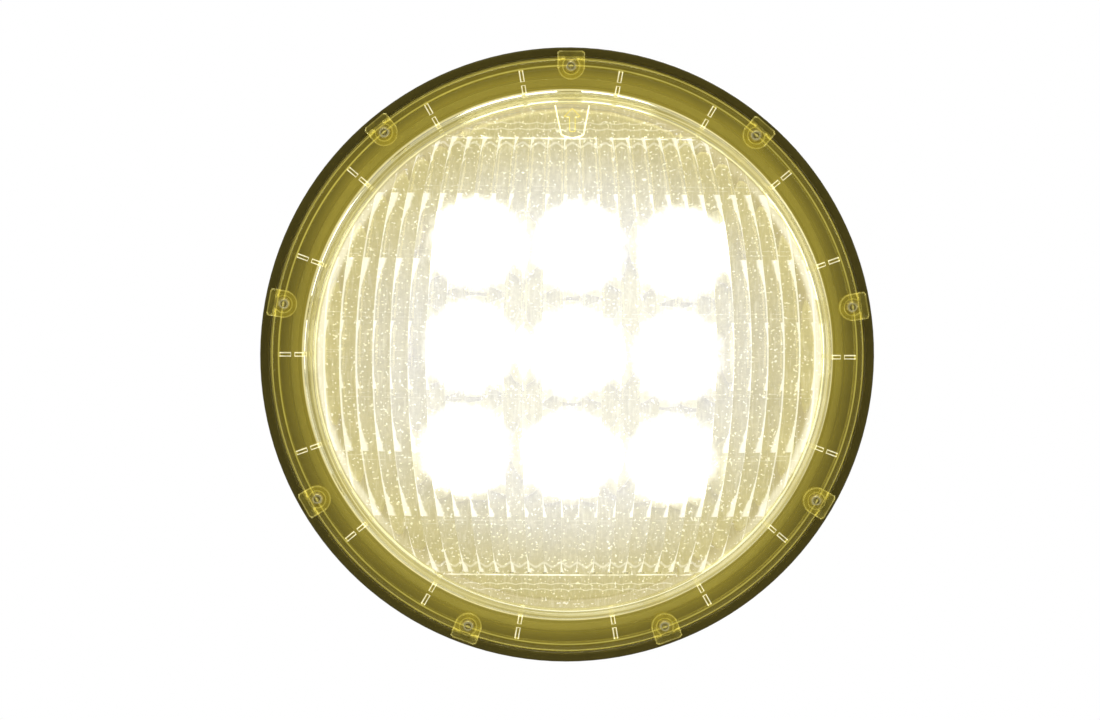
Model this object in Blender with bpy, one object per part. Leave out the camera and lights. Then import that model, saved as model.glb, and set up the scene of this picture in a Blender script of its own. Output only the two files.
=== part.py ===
"""Sealed LED lamp for an underwater pool light, modelled piece by piece.

Metres, +Z up. The lamp's axis lies along Y: the lens faces -Y and the terminals face +Y.
The origin is the centre of the rim's rear face, which rests on the seat of the wall niche.
"""

import math

import bmesh
import bpy
from mathutils import Matrix, Vector

# Overall size: the lamp follows the 7 inch (178 mm) round reflector-lamp format.
RIM_RADIUS = 0.0890
ROUND_STEPS = 56
PLATE_STEPS = 36
SMALL_STEPS = 12
TINY_STEPS = 8
HEXAGON = 6
GAP = 0.0003

# Rim and flange, from the seat plane (y = 0) forwards.
FLANGE_FRONT = -0.0060
RIM_WALL_FRONT = -0.0090
RIM_WALL_INNER = 0.0864
RIM_CHAMFER = 0.0007
SEAL_GROOVE_INNER = 0.0776
SEAL_GROOVE_OUTER = 0.0806
SEAL_GROOVE_FLOOR = -0.0038

# Front lens.
LENS_CROWN = -0.0280
LENS_EDGE = -0.0175
LENS_FACE_RADIUS = 0.0729
LENS_THICKNESS = 0.0030
LENS_FLANGE_RADIUS = 0.0860
LENS_RING_INNER = 0.0731
LENS_RING_OUTER = 0.0744
LENS_RING_FRONT = -0.0180
STEP_WALL_TOP = (0.0757, -0.0166)
LENS_INNER_BASE = 0.0736
LENS_INNER_TOP = (0.0726, -0.0132)
LENS_INNER_CORNER = (0.0716, -0.0144)
CHANNEL_FLOOR = -0.0088
CHANNEL_INNER = 0.0766
CHANNEL_OUTER = 0.0832
BEAD_FRONT = -0.0104
BEAD_DRAFT = 0.0002
BEAD_OUTER = 0.0852
BEAD_SHOULDER = -0.0092

# Flange screws, their lugs and the ribs between them.
SCREW_COUNT = 9
SCREW_CIRCLE = 0.0836
LUG_RADIUS = 0.00395
LUG_END = 0.0880
BOSS_END = 0.0855
LUG_FRONT = -0.0108
COUNTERBORE_RADIUS = 0.0023
COUNTERBORE_FLOOR = -0.0083
FLANGE_HOLE_RADIUS = 0.0016
FLANGE_HOLE_END = -0.0012
SCREW_SHANK = 0.0013
SCREW_HEAD = 0.00195
SCREW_HEAD_EDGE = -0.0098
SCREW_CROWN = 0.0014
SCREW_RECESS = 0.0008
SCREW_RECESS_FLOOR = -0.0094
RIB_WIDTH = 0.0013
RIB_FRONT = -0.0100
RIB_OFFSET_DEG = 10.0

# Bowl of the rear housing.
BOWL_RADIUS = 0.0745
BOWL_END_RADIUS = 0.0340
BOWL_DEPTH = 0.0580
WALL = 0.0026
END_WALL_INNER = 0.0610
END_WALL_OUTER = 0.0640
POCKET_RADIUS = 0.0710
LEDGE_RADIUS = 0.0620
LEDGE_Y = 0.0060

# Terminal block on the end wall.
BLOCK_HALF_X = 0.0280
BLOCK_HALF_Z = 0.0120
BLOCK_END = 0.0820
BAY_FLOOR = 0.0700
BAY_HALF_Z = 0.0095
BARRIER_HALF_X = 0.0015
TERMINAL_X = 0.0120

# Terminal posts, clamps and screws (M4, 0.7 mm pitch).
POST_RADIUS = 0.0040
POST_FLANGE_RADIUS = 0.0060
POST_TOP = BAY_FLOOR + GAP
POST_BORE = 0.0022
POST_BOTTOM = 0.0555
POST_FLANGE_TOP = 0.0585
POST_BORE_END = 0.0595
CLAMP_HALF_X = 0.0055
CLAMP_HALF_Z = 0.0070
CLAMP_THICKNESS = 0.0012
CLAMP_CORNER = 0.0016
TERMINAL_SHANK = 0.0019
TERMINAL_SHANK_END = -0.0100
TERMINAL_HEAD = 0.0040
TERMINAL_HEAD_HEIGHT = 0.0030
TERMINAL_SLOT_WIDTH = 0.0010
TERMINAL_SLOT_DEPTH = 0.0012

# Light engine: board, emitters, reflector cups and their tray.
BOARD_RADIUS = 0.0705
BOARD_FRONT = 0.0008
BOARD_BACK = 0.0024
SINK_FRONT = 0.0027
SINK_BACK = 0.0057
FIN_COUNT = 9
FIN_PITCH = 0.0120
FIN_WIDTH = 0.0020
FIN_BACK = 0.0220
FIN_REACH = 0.0570
GRID_PITCH = 0.0300
GRID_TURN_DEG = -2.4
GRID_SHIFT = (0.0017, 0.0012)
EMITTER_RADIUS = 0.0036
EMITTER_DOME = 0.0026
CUP_THROAT = 0.0042
CUP_MOUTH = 0.0120
CUP_WALL = 0.0011
CUP_RIM = 0.0146
CUP_FRONT = -0.0115
TRAY_FRONT = -0.0102
TRAY_BACK = -0.0087
TRAY_SKIRT_INNER = 0.0690
TRAY_HOLE = 0.0132
BOARD_SCREW_CIRCLE = 0.0655
BOARD_SCREW_SHANK = 0.0014
BOARD_SCREW_HEAD = 0.0026
BOARD_SCREW_HOLE = 0.0018
BOARD_SCREW_END = 0.0105

# Driver board and what it carries.
DRIVER_RADIUS = 0.0400
DRIVER_FRONT = 0.0380
DRIVER_BACK = 0.0396
STANDOFF_PLACE = (0.0300, 0.0180)
STANDOFF_RADIUS = 0.0029
LED_WIRE_X = 0.0180
WIRE_RADIUS = 0.0008
WIRE_HOLE_RADIUS = 0.0020
SUPPLY_PAD_X = 0.0060

ABOUT_Y = (0.0, 1.0, 0.0)


def clear_scene():
    """Remove every object, so that the lamp is built in an empty scene."""
    for old in list(bpy.data.objects):
        bpy.data.objects.remove(old, do_unlink=True)


def finish(name, colour, roughness, metallic=0.0):
    """Return a Principled material of one colour."""
    material = bpy.data.materials.new(name)
    material.use_nodes = True
    shader = material.node_tree.nodes["Principled BSDF"]
    shader.inputs["Base Color"].default_value = (*colour, 1.0)
    shader.inputs["Roughness"].default_value = roughness
    shader.inputs["Metallic"].default_value = metallic
    return material


def mesh_from(bm, name):
    """Close a bmesh into a mesh with outward faces and smooth round sides."""
    bmesh.ops.remove_doubles(bm, verts=bm.verts, dist=1e-6)
    bmesh.ops.recalc_face_normals(bm, faces=bm.faces)
    mesh = bpy.data.meshes.new(name)
    bm.to_mesh(mesh)
    bm.free()
    mesh.shade_smooth()
    mesh.set_sharp_from_angle(angle=math.radians(35))
    return mesh


def place(name, mesh, material, parent, at=(0.0, 0.0, 0.0)):
    """Add one named piece to the scene under its parent empty."""
    piece = bpy.data.objects.new(name, mesh)
    piece.location = Vector(at) - parent.location
    piece.parent = parent
    if not mesh.materials:
        mesh.materials.append(material)
    bpy.context.collection.objects.link(piece)
    return piece


def anchor(name, at=(0.0, 0.0, 0.0), parent=None):
    """Add an empty that carries the pieces of one body."""
    empty = bpy.data.objects.new(name, None)
    empty.parent = parent
    empty.location = at
    bpy.context.collection.objects.link(empty)
    return empty


def tool(name, bm):
    """Add a hidden solid that a Boolean joins to a piece or cuts out of it."""
    solid = bpy.data.objects.new(name, mesh_from(bm, name))
    solid.hide_render = True
    solid.display_type = "WIRE"
    bpy.context.collection.objects.link(solid)
    return solid


def combine(piece, solid, operation):
    """Join a tool to a piece (UNION) or cut it out (DIFFERENCE)."""
    modifier = piece.modifiers.new(solid.name, "BOOLEAN")
    modifier.operation = operation
    modifier.object = solid
    modifier.solver = "EXACT"


def add_turned(bm, outline, steps, centre=(0.0, 0.0)):
    """Turn an outline of (radius, y) points about a line along Y at centre (x, z)."""
    x, z = centre
    verts = [bm.verts.new((x + radius, y, z)) for radius, y in outline]
    edges = [bm.edges.new(pair) for pair in zip(verts, verts[1:])]
    if outline[0][0] > 0.0:
        edges.append(bm.edges.new((verts[-1], verts[0])))
    bmesh.ops.spin(
        bm,
        geom=verts + edges,
        cent=(x, 0.0, z),
        axis=ABOUT_Y,
        angle=2.0 * math.pi,
        steps=steps,
        use_merge=True,
    )


def add_prism(bm, outline, y_low, y_high):
    """Extrude an outline of (x, z) points along Y."""
    face = bm.faces.new([bm.verts.new((x, y_low, z)) for x, z in outline])
    grown = bmesh.ops.extrude_face_region(bm, geom=[face])
    moved = [item for item in grown["geom"] if isinstance(item, bmesh.types.BMVert)]
    bmesh.ops.translate(bm, verts=moved, vec=(0.0, y_high - y_low, 0.0))


def add_block(bm, low, high):
    """Add a box between two corners."""
    low, high = Vector(low), Vector(high)
    size = high - low
    matrix = Matrix.Translation((low + high) / 2) @ Matrix.Diagonal((*size, 1.0))
    bmesh.ops.create_cube(bm, size=1.0, matrix=matrix)


def disc_outline(radius, y_low, y_high):
    """Return the outline of a plain disc between two depths."""
    return [(0.0, y_low), (radius, y_low), (radius, y_high), (0.0, y_high)]


def turned_mesh(name, outline, steps):
    """Return a mesh turned about the Y axis."""
    bm = bmesh.new()
    add_turned(bm, outline, steps)
    return mesh_from(bm, name)


def drill(bm, centres, radius, y_low, y_high, steps=SMALL_STEPS):
    """Add one round plug at each (x, z) centre, to be cut out as a hole."""
    for centre in centres:
        add_turned(bm, disc_outline(radius, y_low, y_high), steps, centre)


def on_circle(radius, degrees):
    """Return the (x, z) point at an angle from +X towards +Z."""
    angle = math.radians(degrees)
    return radius * math.cos(angle), radius * math.sin(angle)


def screw_angles():
    """Return the flange screws' angles, the first one at the top."""
    return [90.0 + 360.0 / SCREW_COUNT * index for index in range(SCREW_COUNT)]


def board_screw_centres():
    """Return the four screws that hold the light engine to the housing's ledge."""
    return [on_circle(BOARD_SCREW_CIRCLE, 45.0 + 90.0 * index) for index in range(4)]


def grid_centres():
    """Return the nine emitters' (x, z) places, row by row from the top left."""
    turn = math.radians(GRID_TURN_DEG)
    centres = []
    for row in (1, 0, -1):
        for column in (-1, 0, 1):
            x, z = column * GRID_PITCH, row * GRID_PITCH
            turned_x = x * math.cos(turn) - z * math.sin(turn)
            turned_z = x * math.sin(turn) + z * math.cos(turn)
            centres.append((turned_x + GRID_SHIFT[0], turned_z + GRID_SHIFT[1]))
    return centres


def bowl_radius(y):
    """Return the bowl's outer radius at a depth behind the seat, a paraboloid."""
    opening, end = BOWL_RADIUS**2, BOWL_END_RADIUS**2
    return math.sqrt(opening - (opening - end) * y / BOWL_DEPTH)


def bowl_depth(radius):
    """Return the depth at which the bowl's outer surface has a radius."""
    opening, end = BOWL_RADIUS**2, BOWL_END_RADIUS**2
    return (opening - radius**2) / (opening - end) * BOWL_DEPTH


def lens_dome(radius, thickness=0.0):
    """Return the dome's y at a radius, on its front or a thickness behind it."""
    drop = (LENS_EDGE - LENS_CROWN) * (radius / LENS_FACE_RADIUS) ** 2
    return LENS_CROWN + thickness + drop


def lens_outline():
    """Return the lens's section from the crown out to the flange and back inside."""
    face_steps = 4
    inner_edge = LENS_FACE_RADIUS - LENS_THICKNESS
    front = [LENS_FACE_RADIUS * step / face_steps for step in range(face_steps + 1)]
    back = [inner_edge * step / face_steps for step in range(face_steps, -1, -1)]
    lens_back = FLANGE_FRONT - GAP
    outline = [(radius, lens_dome(radius)) for radius in front]
    outline += [
        (LENS_RING_INNER, LENS_RING_FRONT),
        (LENS_RING_OUTER, LENS_RING_FRONT),
        STEP_WALL_TOP,
        (CHANNEL_INNER, CHANNEL_FLOOR),
        (CHANNEL_OUTER, CHANNEL_FLOOR),
        (CHANNEL_OUTER + BEAD_DRAFT, BEAD_FRONT),
        (BEAD_OUTER, BEAD_FRONT),
        (LENS_FLANGE_RADIUS, BEAD_SHOULDER),
        (LENS_FLANGE_RADIUS, lens_back),
        (LENS_INNER_BASE, lens_back),
        LENS_INNER_TOP,
        LENS_INNER_CORNER,
    ]
    outline += [(radius, lens_dome(radius, LENS_THICKNESS)) for radius in back]
    return outline


def lug_outline(degrees, end):
    """Return a tongue's (x, z) outline: a half circle about the screw, flat at its outer end."""
    half_steps = 8
    points = [(end - SCREW_CIRCLE, -LUG_RADIUS)]
    for step in range(half_steps + 1):
        angle = -math.pi / 2 - math.pi * step / half_steps
        points.append((LUG_RADIUS * math.cos(angle), LUG_RADIUS * math.sin(angle)))
    points.append((end - SCREW_CIRCLE, LUG_RADIUS))
    turn = math.radians(degrees)
    outline = []
    for outward, sideways in points:
        x = (SCREW_CIRCLE + outward) * math.cos(turn) - sideways * math.sin(turn)
        z = (SCREW_CIRCLE + outward) * math.sin(turn) + sideways * math.cos(turn)
        outline.append((x, z))
    return outline


def add_rib(bm, degrees):
    """Add one radial rib across the lens's channel."""
    low = (CHANNEL_INNER - 0.0006, RIB_FRONT, -RIB_WIDTH / 2)
    high = (CHANNEL_OUTER + 0.0006, CHANNEL_FLOOR + 0.0008, RIB_WIDTH / 2)
    start = len(bm.verts)
    add_block(bm, low, high)
    bm.verts.ensure_lookup_table()
    turn = Matrix.Rotation(-math.radians(degrees), 3, "Y")
    bmesh.ops.rotate(bm, verts=bm.verts[start:], cent=(0.0, 0.0, 0.0), matrix=turn)


def build_lens(lamp):
    """Build the clear front: dome, step wall, ribbed channel, bead and screw lugs."""
    clear = finish("clear_cover", (0.80, 0.76, 0.46), 0.10)
    lens = place("front_lens", turned_mesh("front_lens", lens_outline(), ROUND_STEPS), clear, lamp)
    ribs = bmesh.new()
    lugs = bmesh.new()
    bosses = bmesh.new()
    for degrees in screw_angles():
        add_prism(lugs, lug_outline(degrees, LUG_END), LUG_FRONT, RIM_WALL_FRONT - GAP)
        add_prism(bosses, lug_outline(degrees, BOSS_END), LUG_FRONT + 0.0002, CHANNEL_FLOOR + 0.0006)
        for side in (-1, 1):
            add_rib(ribs, degrees + side * RIB_OFFSET_DEG)
    combine(lens, tool("lens_ribs", ribs), "UNION")
    combine(lens, tool("lens_bosses", bosses), "UNION")
    combine(lens, tool("lens_lugs", lugs), "UNION")
    holes = bmesh.new()
    outline = [
        (0.0, LUG_FRONT - 0.002),
        (COUNTERBORE_RADIUS, LUG_FRONT - 0.002),
        (COUNTERBORE_RADIUS, COUNTERBORE_FLOOR),
        (FLANGE_HOLE_RADIUS, COUNTERBORE_FLOOR),
        (FLANGE_HOLE_RADIUS, FLANGE_FRONT + 0.001),
        (0.0, FLANGE_FRONT + 0.001),
    ]
    for degrees in screw_angles():
        add_turned(holes, outline, SMALL_STEPS, on_circle(SCREW_CIRCLE, degrees))
    combine(lens, tool("lens_screw_holes", holes), "DIFFERENCE")


def build_seal(lamp):
    """Build the silicone ring in the flange's groove."""
    inner, outer = SEAL_GROOVE_INNER + GAP, SEAL_GROOVE_OUTER - GAP
    front, back = FLANGE_FRONT, SEAL_GROOVE_FLOOR - GAP
    corner = 0.0005
    outline = [
        (inner, back - corner),
        (inner + corner, back),
        (outer - corner, back),
        (outer, back - corner),
        (outer, front + corner),
        (outer - corner, front),
        (inner + corner, front),
        (inner, front + corner),
    ]
    silicone = finish("silicone", (0.75, 0.74, 0.68), 0.60)
    place("seal_ring", turned_mesh("seal_ring", outline, PLATE_STEPS), silicone, lamp)


def housing_outline():
    """Return the housing's section: end wall, bowl, flange, rim wall, pocket and ledge."""
    bowl_steps = 5
    outer = [BOWL_DEPTH * step / bowl_steps for step in range(bowl_steps, -1, -1)]
    ledge_back = bowl_depth(LEDGE_RADIUS + WALL)
    span = BOWL_DEPTH - ledge_back
    inner = [ledge_back + span * step / bowl_steps for step in range(bowl_steps + 1)]
    outline = [
        (0.0, END_WALL_OUTER),
        (BOWL_END_RADIUS - RIM_CHAMFER, END_WALL_OUTER),
        (BOWL_END_RADIUS, END_WALL_OUTER - RIM_CHAMFER),
    ]
    outline += [(bowl_radius(y), y) for y in outer]
    outline += [
        (RIM_RADIUS - RIM_CHAMFER, 0.0),
        (RIM_RADIUS, -RIM_CHAMFER),
        (RIM_RADIUS, RIM_WALL_FRONT + RIM_CHAMFER),
        (RIM_RADIUS - RIM_CHAMFER, RIM_WALL_FRONT),
        (RIM_WALL_INNER, RIM_WALL_FRONT),
        (RIM_WALL_INNER, FLANGE_FRONT),
        (SEAL_GROOVE_OUTER, FLANGE_FRONT),
        (SEAL_GROOVE_OUTER, SEAL_GROOVE_FLOOR),
        (SEAL_GROOVE_INNER, SEAL_GROOVE_FLOOR),
        (SEAL_GROOVE_INNER, FLANGE_FRONT),
        (POCKET_RADIUS, FLANGE_FRONT),
        (POCKET_RADIUS, LEDGE_Y),
        (LEDGE_RADIUS, LEDGE_Y),
    ]
    outline += [(bowl_radius(y) - WALL, y) for y in inner]
    outline += [(bowl_radius(BOWL_DEPTH) - WALL, END_WALL_INNER), (0.0, END_WALL_INNER)]
    return outline


def build_housing(lamp):
    """Build the rear housing: rim, bowl and the terminal block with its two bays."""
    plastic = finish("housing_plastic", (0.16, 0.14, 0.06), 0.35)
    mesh = turned_mesh("rear_housing", housing_outline(), ROUND_STEPS)
    housing = place("rear_housing", mesh, plastic, lamp)
    block = bmesh.new()
    low = (-BLOCK_HALF_X, END_WALL_OUTER - 0.001, -BLOCK_HALF_Z)
    add_block(block, low, (BLOCK_HALF_X, BLOCK_END, BLOCK_HALF_Z))
    bmesh.ops.bevel(
        block,
        geom=[edge for edge in block.edges if abs(edge.verts[0].co.y - edge.verts[1].co.y) > 0.001],
        offset=0.003,
        segments=3,
        affect="EDGES",
    )
    combine(housing, tool("terminal_block", block), "UNION")
    bays = bmesh.new()
    for side in (-1, 1):
        near, far = side * BARRIER_HALF_X, side * (BLOCK_HALF_X + 0.004)
        low = (min(near, far), BAY_FLOOR, -BAY_HALF_Z)
        add_block(bays, low, (max(near, far), BLOCK_END + 0.004, BAY_HALF_Z))
    combine(housing, tool("terminal_bays", bays), "DIFFERENCE")
    holes = bmesh.new()
    posts = [(-TERMINAL_X, 0.0), (TERMINAL_X, 0.0)]
    drill(holes, posts, POST_RADIUS + GAP, END_WALL_INNER - 0.002, BAY_FLOOR + 0.002)
    screws = [on_circle(SCREW_CIRCLE, degrees) for degrees in screw_angles()]
    drill(holes, screws, FLANGE_HOLE_RADIUS, FLANGE_FRONT - 0.001, FLANGE_HOLE_END, TINY_STEPS)
    drill(holes, board_screw_centres(), BOARD_SCREW_SHANK + GAP, 0.005, BOARD_SCREW_END + GAP, TINY_STEPS)
    combine(housing, tool("housing_holes", holes), "DIFFERENCE")


def build_flange_screws(lamp):
    """Build the screws that hold the lens and the seal to the housing."""
    steel = finish("screw_steel", (0.72, 0.71, 0.66), 0.25, 1.0)
    outline = [
        (0.0, FLANGE_HOLE_END - GAP),
        (SCREW_SHANK, FLANGE_HOLE_END - GAP),
        (SCREW_SHANK, COUNTERBORE_FLOOR - GAP),
        (SCREW_HEAD, COUNTERBORE_FLOOR - GAP),
        (SCREW_HEAD, SCREW_HEAD_EDGE),
        (SCREW_CROWN, BEAD_FRONT),
        (SCREW_RECESS, BEAD_FRONT),
        (SCREW_RECESS, SCREW_RECESS_FLOOR),
        (0.0, SCREW_RECESS_FLOOR),
    ]
    mesh = turned_mesh("flange_screw", outline, TINY_STEPS)
    for index, degrees in enumerate(screw_angles()):
        x, z = on_circle(SCREW_CIRCLE, degrees)
        place(f"flange_screw_{index + 1}", mesh, steel, lamp, (x, 0.0, z))


def build_light_board(lamp):
    """Build the metal-core board, its heat sink and the four screws through both."""
    board_finish = finish("board_white", (0.90, 0.90, 0.86), 0.40)
    aluminium = finish("aluminium", (0.77, 0.77, 0.78), 0.35, 1.0)
    steel = finish("board_screw_steel", (0.70, 0.70, 0.68), 0.30, 1.0)
    disc = disc_outline(BOARD_RADIUS, BOARD_FRONT, BOARD_BACK)
    board = place("led_board", turned_mesh("led_board", disc, PLATE_STEPS), board_finish, lamp)
    plate = disc_outline(BOARD_RADIUS, SINK_FRONT, SINK_BACK)
    sink = place("heat_sink", turned_mesh("heat_sink", plate, PLATE_STEPS), aluminium, lamp)
    fins = bmesh.new()
    for index in range(FIN_COUNT):
        x = (index - (FIN_COUNT - 1) / 2) * FIN_PITCH
        reach = math.sqrt(FIN_REACH**2 - x**2)
        low = (x - FIN_WIDTH / 2, SINK_BACK - 0.001, -reach)
        add_block(fins, low, (x + FIN_WIDTH / 2, FIN_BACK, reach))
    combine(sink, tool("sink_fins", fins), "UNION")
    holes = bmesh.new()
    drill(holes, board_screw_centres(), BOARD_SCREW_HOLE, BOARD_FRONT - 0.001, SINK_BACK + 0.001, TINY_STEPS)
    screw_holes = tool("board_screw_holes", holes)
    combine(board, screw_holes, "DIFFERENCE")
    combine(sink, screw_holes, "DIFFERENCE")
    passages = bmesh.new()
    drill(passages, [(-LED_WIRE_X, 0.0), (LED_WIRE_X, 0.0)], WIRE_HOLE_RADIUS, BOARD_BACK, 0.007, TINY_STEPS)
    combine(sink, tool("sink_wire_holes", passages), "DIFFERENCE")
    head_back = BOARD_FRONT - GAP
    outline = [
        (0.0, BOARD_SCREW_END),
        (BOARD_SCREW_SHANK, BOARD_SCREW_END),
        (BOARD_SCREW_SHANK, head_back),
        (BOARD_SCREW_HEAD, head_back),
        (BOARD_SCREW_HEAD, head_back - 0.0014),
        (0.0016, head_back - 0.0021),
        (0.0, head_back - 0.0021),
    ]
    mesh = turned_mesh("board_screw", outline, TINY_STEPS)
    for index, (x, z) in enumerate(board_screw_centres()):
        place(f"board_screw_{index + 1}", mesh, steel, lamp, (x, 0.0, z))


def build_emitters(lamp):
    """Build the nine emitters and the reflector cup round each."""
    phosphor = finish("emitter", (0.95, 0.85, 0.40), 0.20)
    mirror = finish("reflector", (0.90, 0.90, 0.90), 0.08, 1.0)
    base = BOARD_FRONT - GAP
    emitter_outline = [
        (0.0, base),
        (EMITTER_RADIUS, base),
        (EMITTER_RADIUS, base - 0.0009),
        (EMITTER_DOME, base - 0.0009),
        (0.88 * EMITTER_DOME, base - 0.0023),
        (0.45 * EMITTER_DOME, base - 0.0033),
        (0.0, base - 0.0036),
    ]
    emitter_mesh = turned_mesh("emitter", emitter_outline, TINY_STEPS)
    cup_back = BOARD_FRONT - GAP
    cup_steps = 3
    inside = []
    for step in range(cup_steps + 1):
        share = step / cup_steps
        radius = CUP_THROAT + (CUP_MOUTH - CUP_THROAT) * share**0.6
        inside.append((radius, cup_back + (CUP_FRONT - cup_back) * share))
    outside = [(radius + CUP_WALL, y) for radius, y in reversed(inside[:-1])]
    rim_back = TRAY_FRONT - GAP
    rim = [(CUP_RIM, CUP_FRONT), (CUP_RIM, rim_back), (CUP_MOUTH + CUP_WALL, rim_back)]
    cup_mesh = turned_mesh("reflector_cup", inside + rim + outside, SMALL_STEPS)
    for index, (x, z) in enumerate(grid_centres()):
        label = f"row{index // 3 + 1}_{index % 3 + 1}"
        place(f"emitter_{label}", emitter_mesh, phosphor, lamp, (x, 0.0, z))
        place(f"reflector_cup_{label}", cup_mesh, mirror, lamp, (x, 0.0, z))


def build_tray(lamp):
    """Build the pan that covers the board and holds the cups in nine holes."""
    white = finish("tray_white", (0.88, 0.87, 0.82), 0.45)
    skirt_back = BOARD_FRONT - GAP
    outline = [
        (0.0, TRAY_FRONT),
        (BOARD_RADIUS - 0.0006, TRAY_FRONT),
        (BOARD_RADIUS, TRAY_FRONT + 0.0006),
        (BOARD_RADIUS, skirt_back),
        (TRAY_SKIRT_INNER, skirt_back),
        (TRAY_SKIRT_INNER, TRAY_BACK),
        (0.0, TRAY_BACK),
    ]
    tray = place("reflector_tray", turned_mesh("reflector_tray", outline, PLATE_STEPS), white, lamp)
    holes = bmesh.new()
    drill(holes, grid_centres(), TRAY_HOLE, TRAY_FRONT - 0.001, TRAY_BACK + 0.001)
    combine(tray, tool("tray_holes", holes), "DIFFERENCE")


def build_driver(lamp):
    """Build the driver board on four standoffs, with its main components."""
    green = finish("driver_green", (0.05, 0.22, 0.10), 0.45)
    brass = finish("standoff_brass", (0.75, 0.60, 0.30), 0.35, 1.0)
    sleeve = finish("capacitor_sleeve", (0.05, 0.07, 0.12), 0.35)
    winding = finish("winding_copper", (0.62, 0.30, 0.14), 0.35, 1.0)
    black = finish("component_black", (0.03, 0.03, 0.03), 0.50)
    disc = disc_outline(DRIVER_RADIUS, DRIVER_FRONT, DRIVER_BACK)
    place("driver_board", turned_mesh("driver_board", disc, PLATE_STEPS), green, lamp)
    pillar = disc_outline(STANDOFF_RADIUS, SINK_BACK + GAP, DRIVER_FRONT - GAP)
    pillar_mesh = turned_mesh("standoff", pillar, HEXAGON)
    corners = [(sx * STANDOFF_PLACE[0], sz * STANDOFF_PLACE[1]) for sx in (-1, 1) for sz in (-1, 1)]
    for index, (x, z) in enumerate(corners):
        place(f"driver_standoff_{index + 1}", pillar_mesh, brass, lamp, (x, 0.0, z))
    foot = DRIVER_BACK + GAP
    for name, radius, height, at in (
        ("capacitor_large", 0.0080, 0.0150, (-0.017, 0.016)),
        ("capacitor_small", 0.0050, 0.0120, (0.017, 0.017)),
    ):
        can = [
            (0.0, foot),
            (radius, foot),
            (radius, foot + height - 0.0008),
            (radius - 0.0008, foot + height),
            (0.0, foot + height),
        ]
        place(name, turned_mesh(name, can, SMALL_STEPS), sleeve, lamp, (at[0], 0.0, at[1]))
    core = 0.0034
    ring = []
    for step in range(TINY_STEPS):
        angle = 2.0 * math.pi * step / TINY_STEPS
        ring.append((0.0080 + core * math.cos(angle), foot + core + core * math.sin(angle)))
    place("inductor", turned_mesh("inductor", ring, SMALL_STEPS), winding, lamp, (0.020, 0.0, -0.018))
    for name, size, at in (
        ("rectifier", (0.0150, 0.0110, 0.0036), (-0.017, -0.014)),
        ("controller_chip", (0.0090, 0.0016, 0.0060), (0.0, -0.027)),
    ):
        bm = bmesh.new()
        half_x, half_z = size[0] / 2, size[2] / 2
        add_block(bm, (-half_x, foot, -half_z), (half_x, foot + size[1], half_z))
        bmesh.ops.bevel(bm, geom=bm.edges[:], offset=0.0003, segments=1, affect="EDGES")
        place(name, mesh_from(bm, name), black, lamp, (at[0], 0.0, at[1]))


def add_wire(name, start, end, bulge, material, lamp):
    """Add a round wire on a smooth S curve from start to end."""
    start, end, bulge = Vector(start), Vector(end), Vector(bulge)
    steps = 8
    curve = bpy.data.curves.new(name, "CURVE")
    curve.dimensions = "3D"
    curve.bevel_depth = WIRE_RADIUS
    curve.bevel_resolution = 1
    curve.use_fill_caps = True
    spline = curve.splines.new("POLY")
    spline.points.add(steps)
    for step in range(steps + 1):
        share = step / steps
        blend = share * share * (3.0 - 2.0 * share)
        point = start.lerp(end, blend) + bulge * math.sin(math.pi * share) ** 2
        point.y = start.y + (end.y - start.y) * share
        spline.points[step].co = (*point, 1.0)
    curve.materials.append(material)
    wire = bpy.data.objects.new(name, curve)
    wire.parent = lamp
    bpy.context.collection.objects.link(wire)


def build_wires(lamp):
    """Build the wires from the posts to the driver and from the driver to the light board."""
    red = finish("wire_red", (0.55, 0.05, 0.04), 0.40)
    black = finish("wire_black", (0.03, 0.03, 0.03), 0.40)
    for name, side, material in (("a", -1, red), ("b", 1, black)):
        post = (side * TERMINAL_X, POST_BOTTOM - GAP, 0.0)
        pad = (side * SUPPLY_PAD_X, DRIVER_BACK + GAP, 0.0)
        add_wire(f"supply_wire_{name}", post, pad, (0.0, 0.0, 0.0), material, lamp)
        low = (side * LED_WIRE_X, SINK_FRONT, 0.0)
        high = (side * LED_WIRE_X, DRIVER_FRONT - GAP, 0.0)
        add_wire(f"led_wire_{name}", low, high, (0.0, 0.0, 0.006), material, lamp)


def build_post(label, centre, brass, rubber, lamp):
    """Build one terminal post, sealed where it passes the end wall."""
    outline = [
        (0.0, POST_BOTTOM),
        (POST_FLANGE_RADIUS, POST_BOTTOM),
        (POST_FLANGE_RADIUS, POST_FLANGE_TOP),
        (POST_RADIUS, POST_FLANGE_TOP),
        (POST_RADIUS, POST_TOP),
        (POST_BORE, POST_TOP),
        (POST_BORE, POST_BORE_END),
        (0.0, POST_BORE_END),
    ]
    place(f"terminal_post_{label}", turned_mesh("terminal_post", outline, SMALL_STEPS), brass, lamp, centre)
    seal_radius = (END_WALL_INNER - POST_FLANGE_TOP) / 2 - GAP
    middle = POST_RADIUS + GAP + seal_radius
    ring = []
    for step in range(TINY_STEPS):
        angle = 2.0 * math.pi * step / TINY_STEPS
        y = (END_WALL_INNER + POST_FLANGE_TOP) / 2 + seal_radius * math.sin(angle)
        ring.append((middle + seal_radius * math.cos(angle), y))
    place(f"post_seal_{label}", turned_mesh("post_seal", ring, SMALL_STEPS), rubber, lamp, centre)


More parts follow.
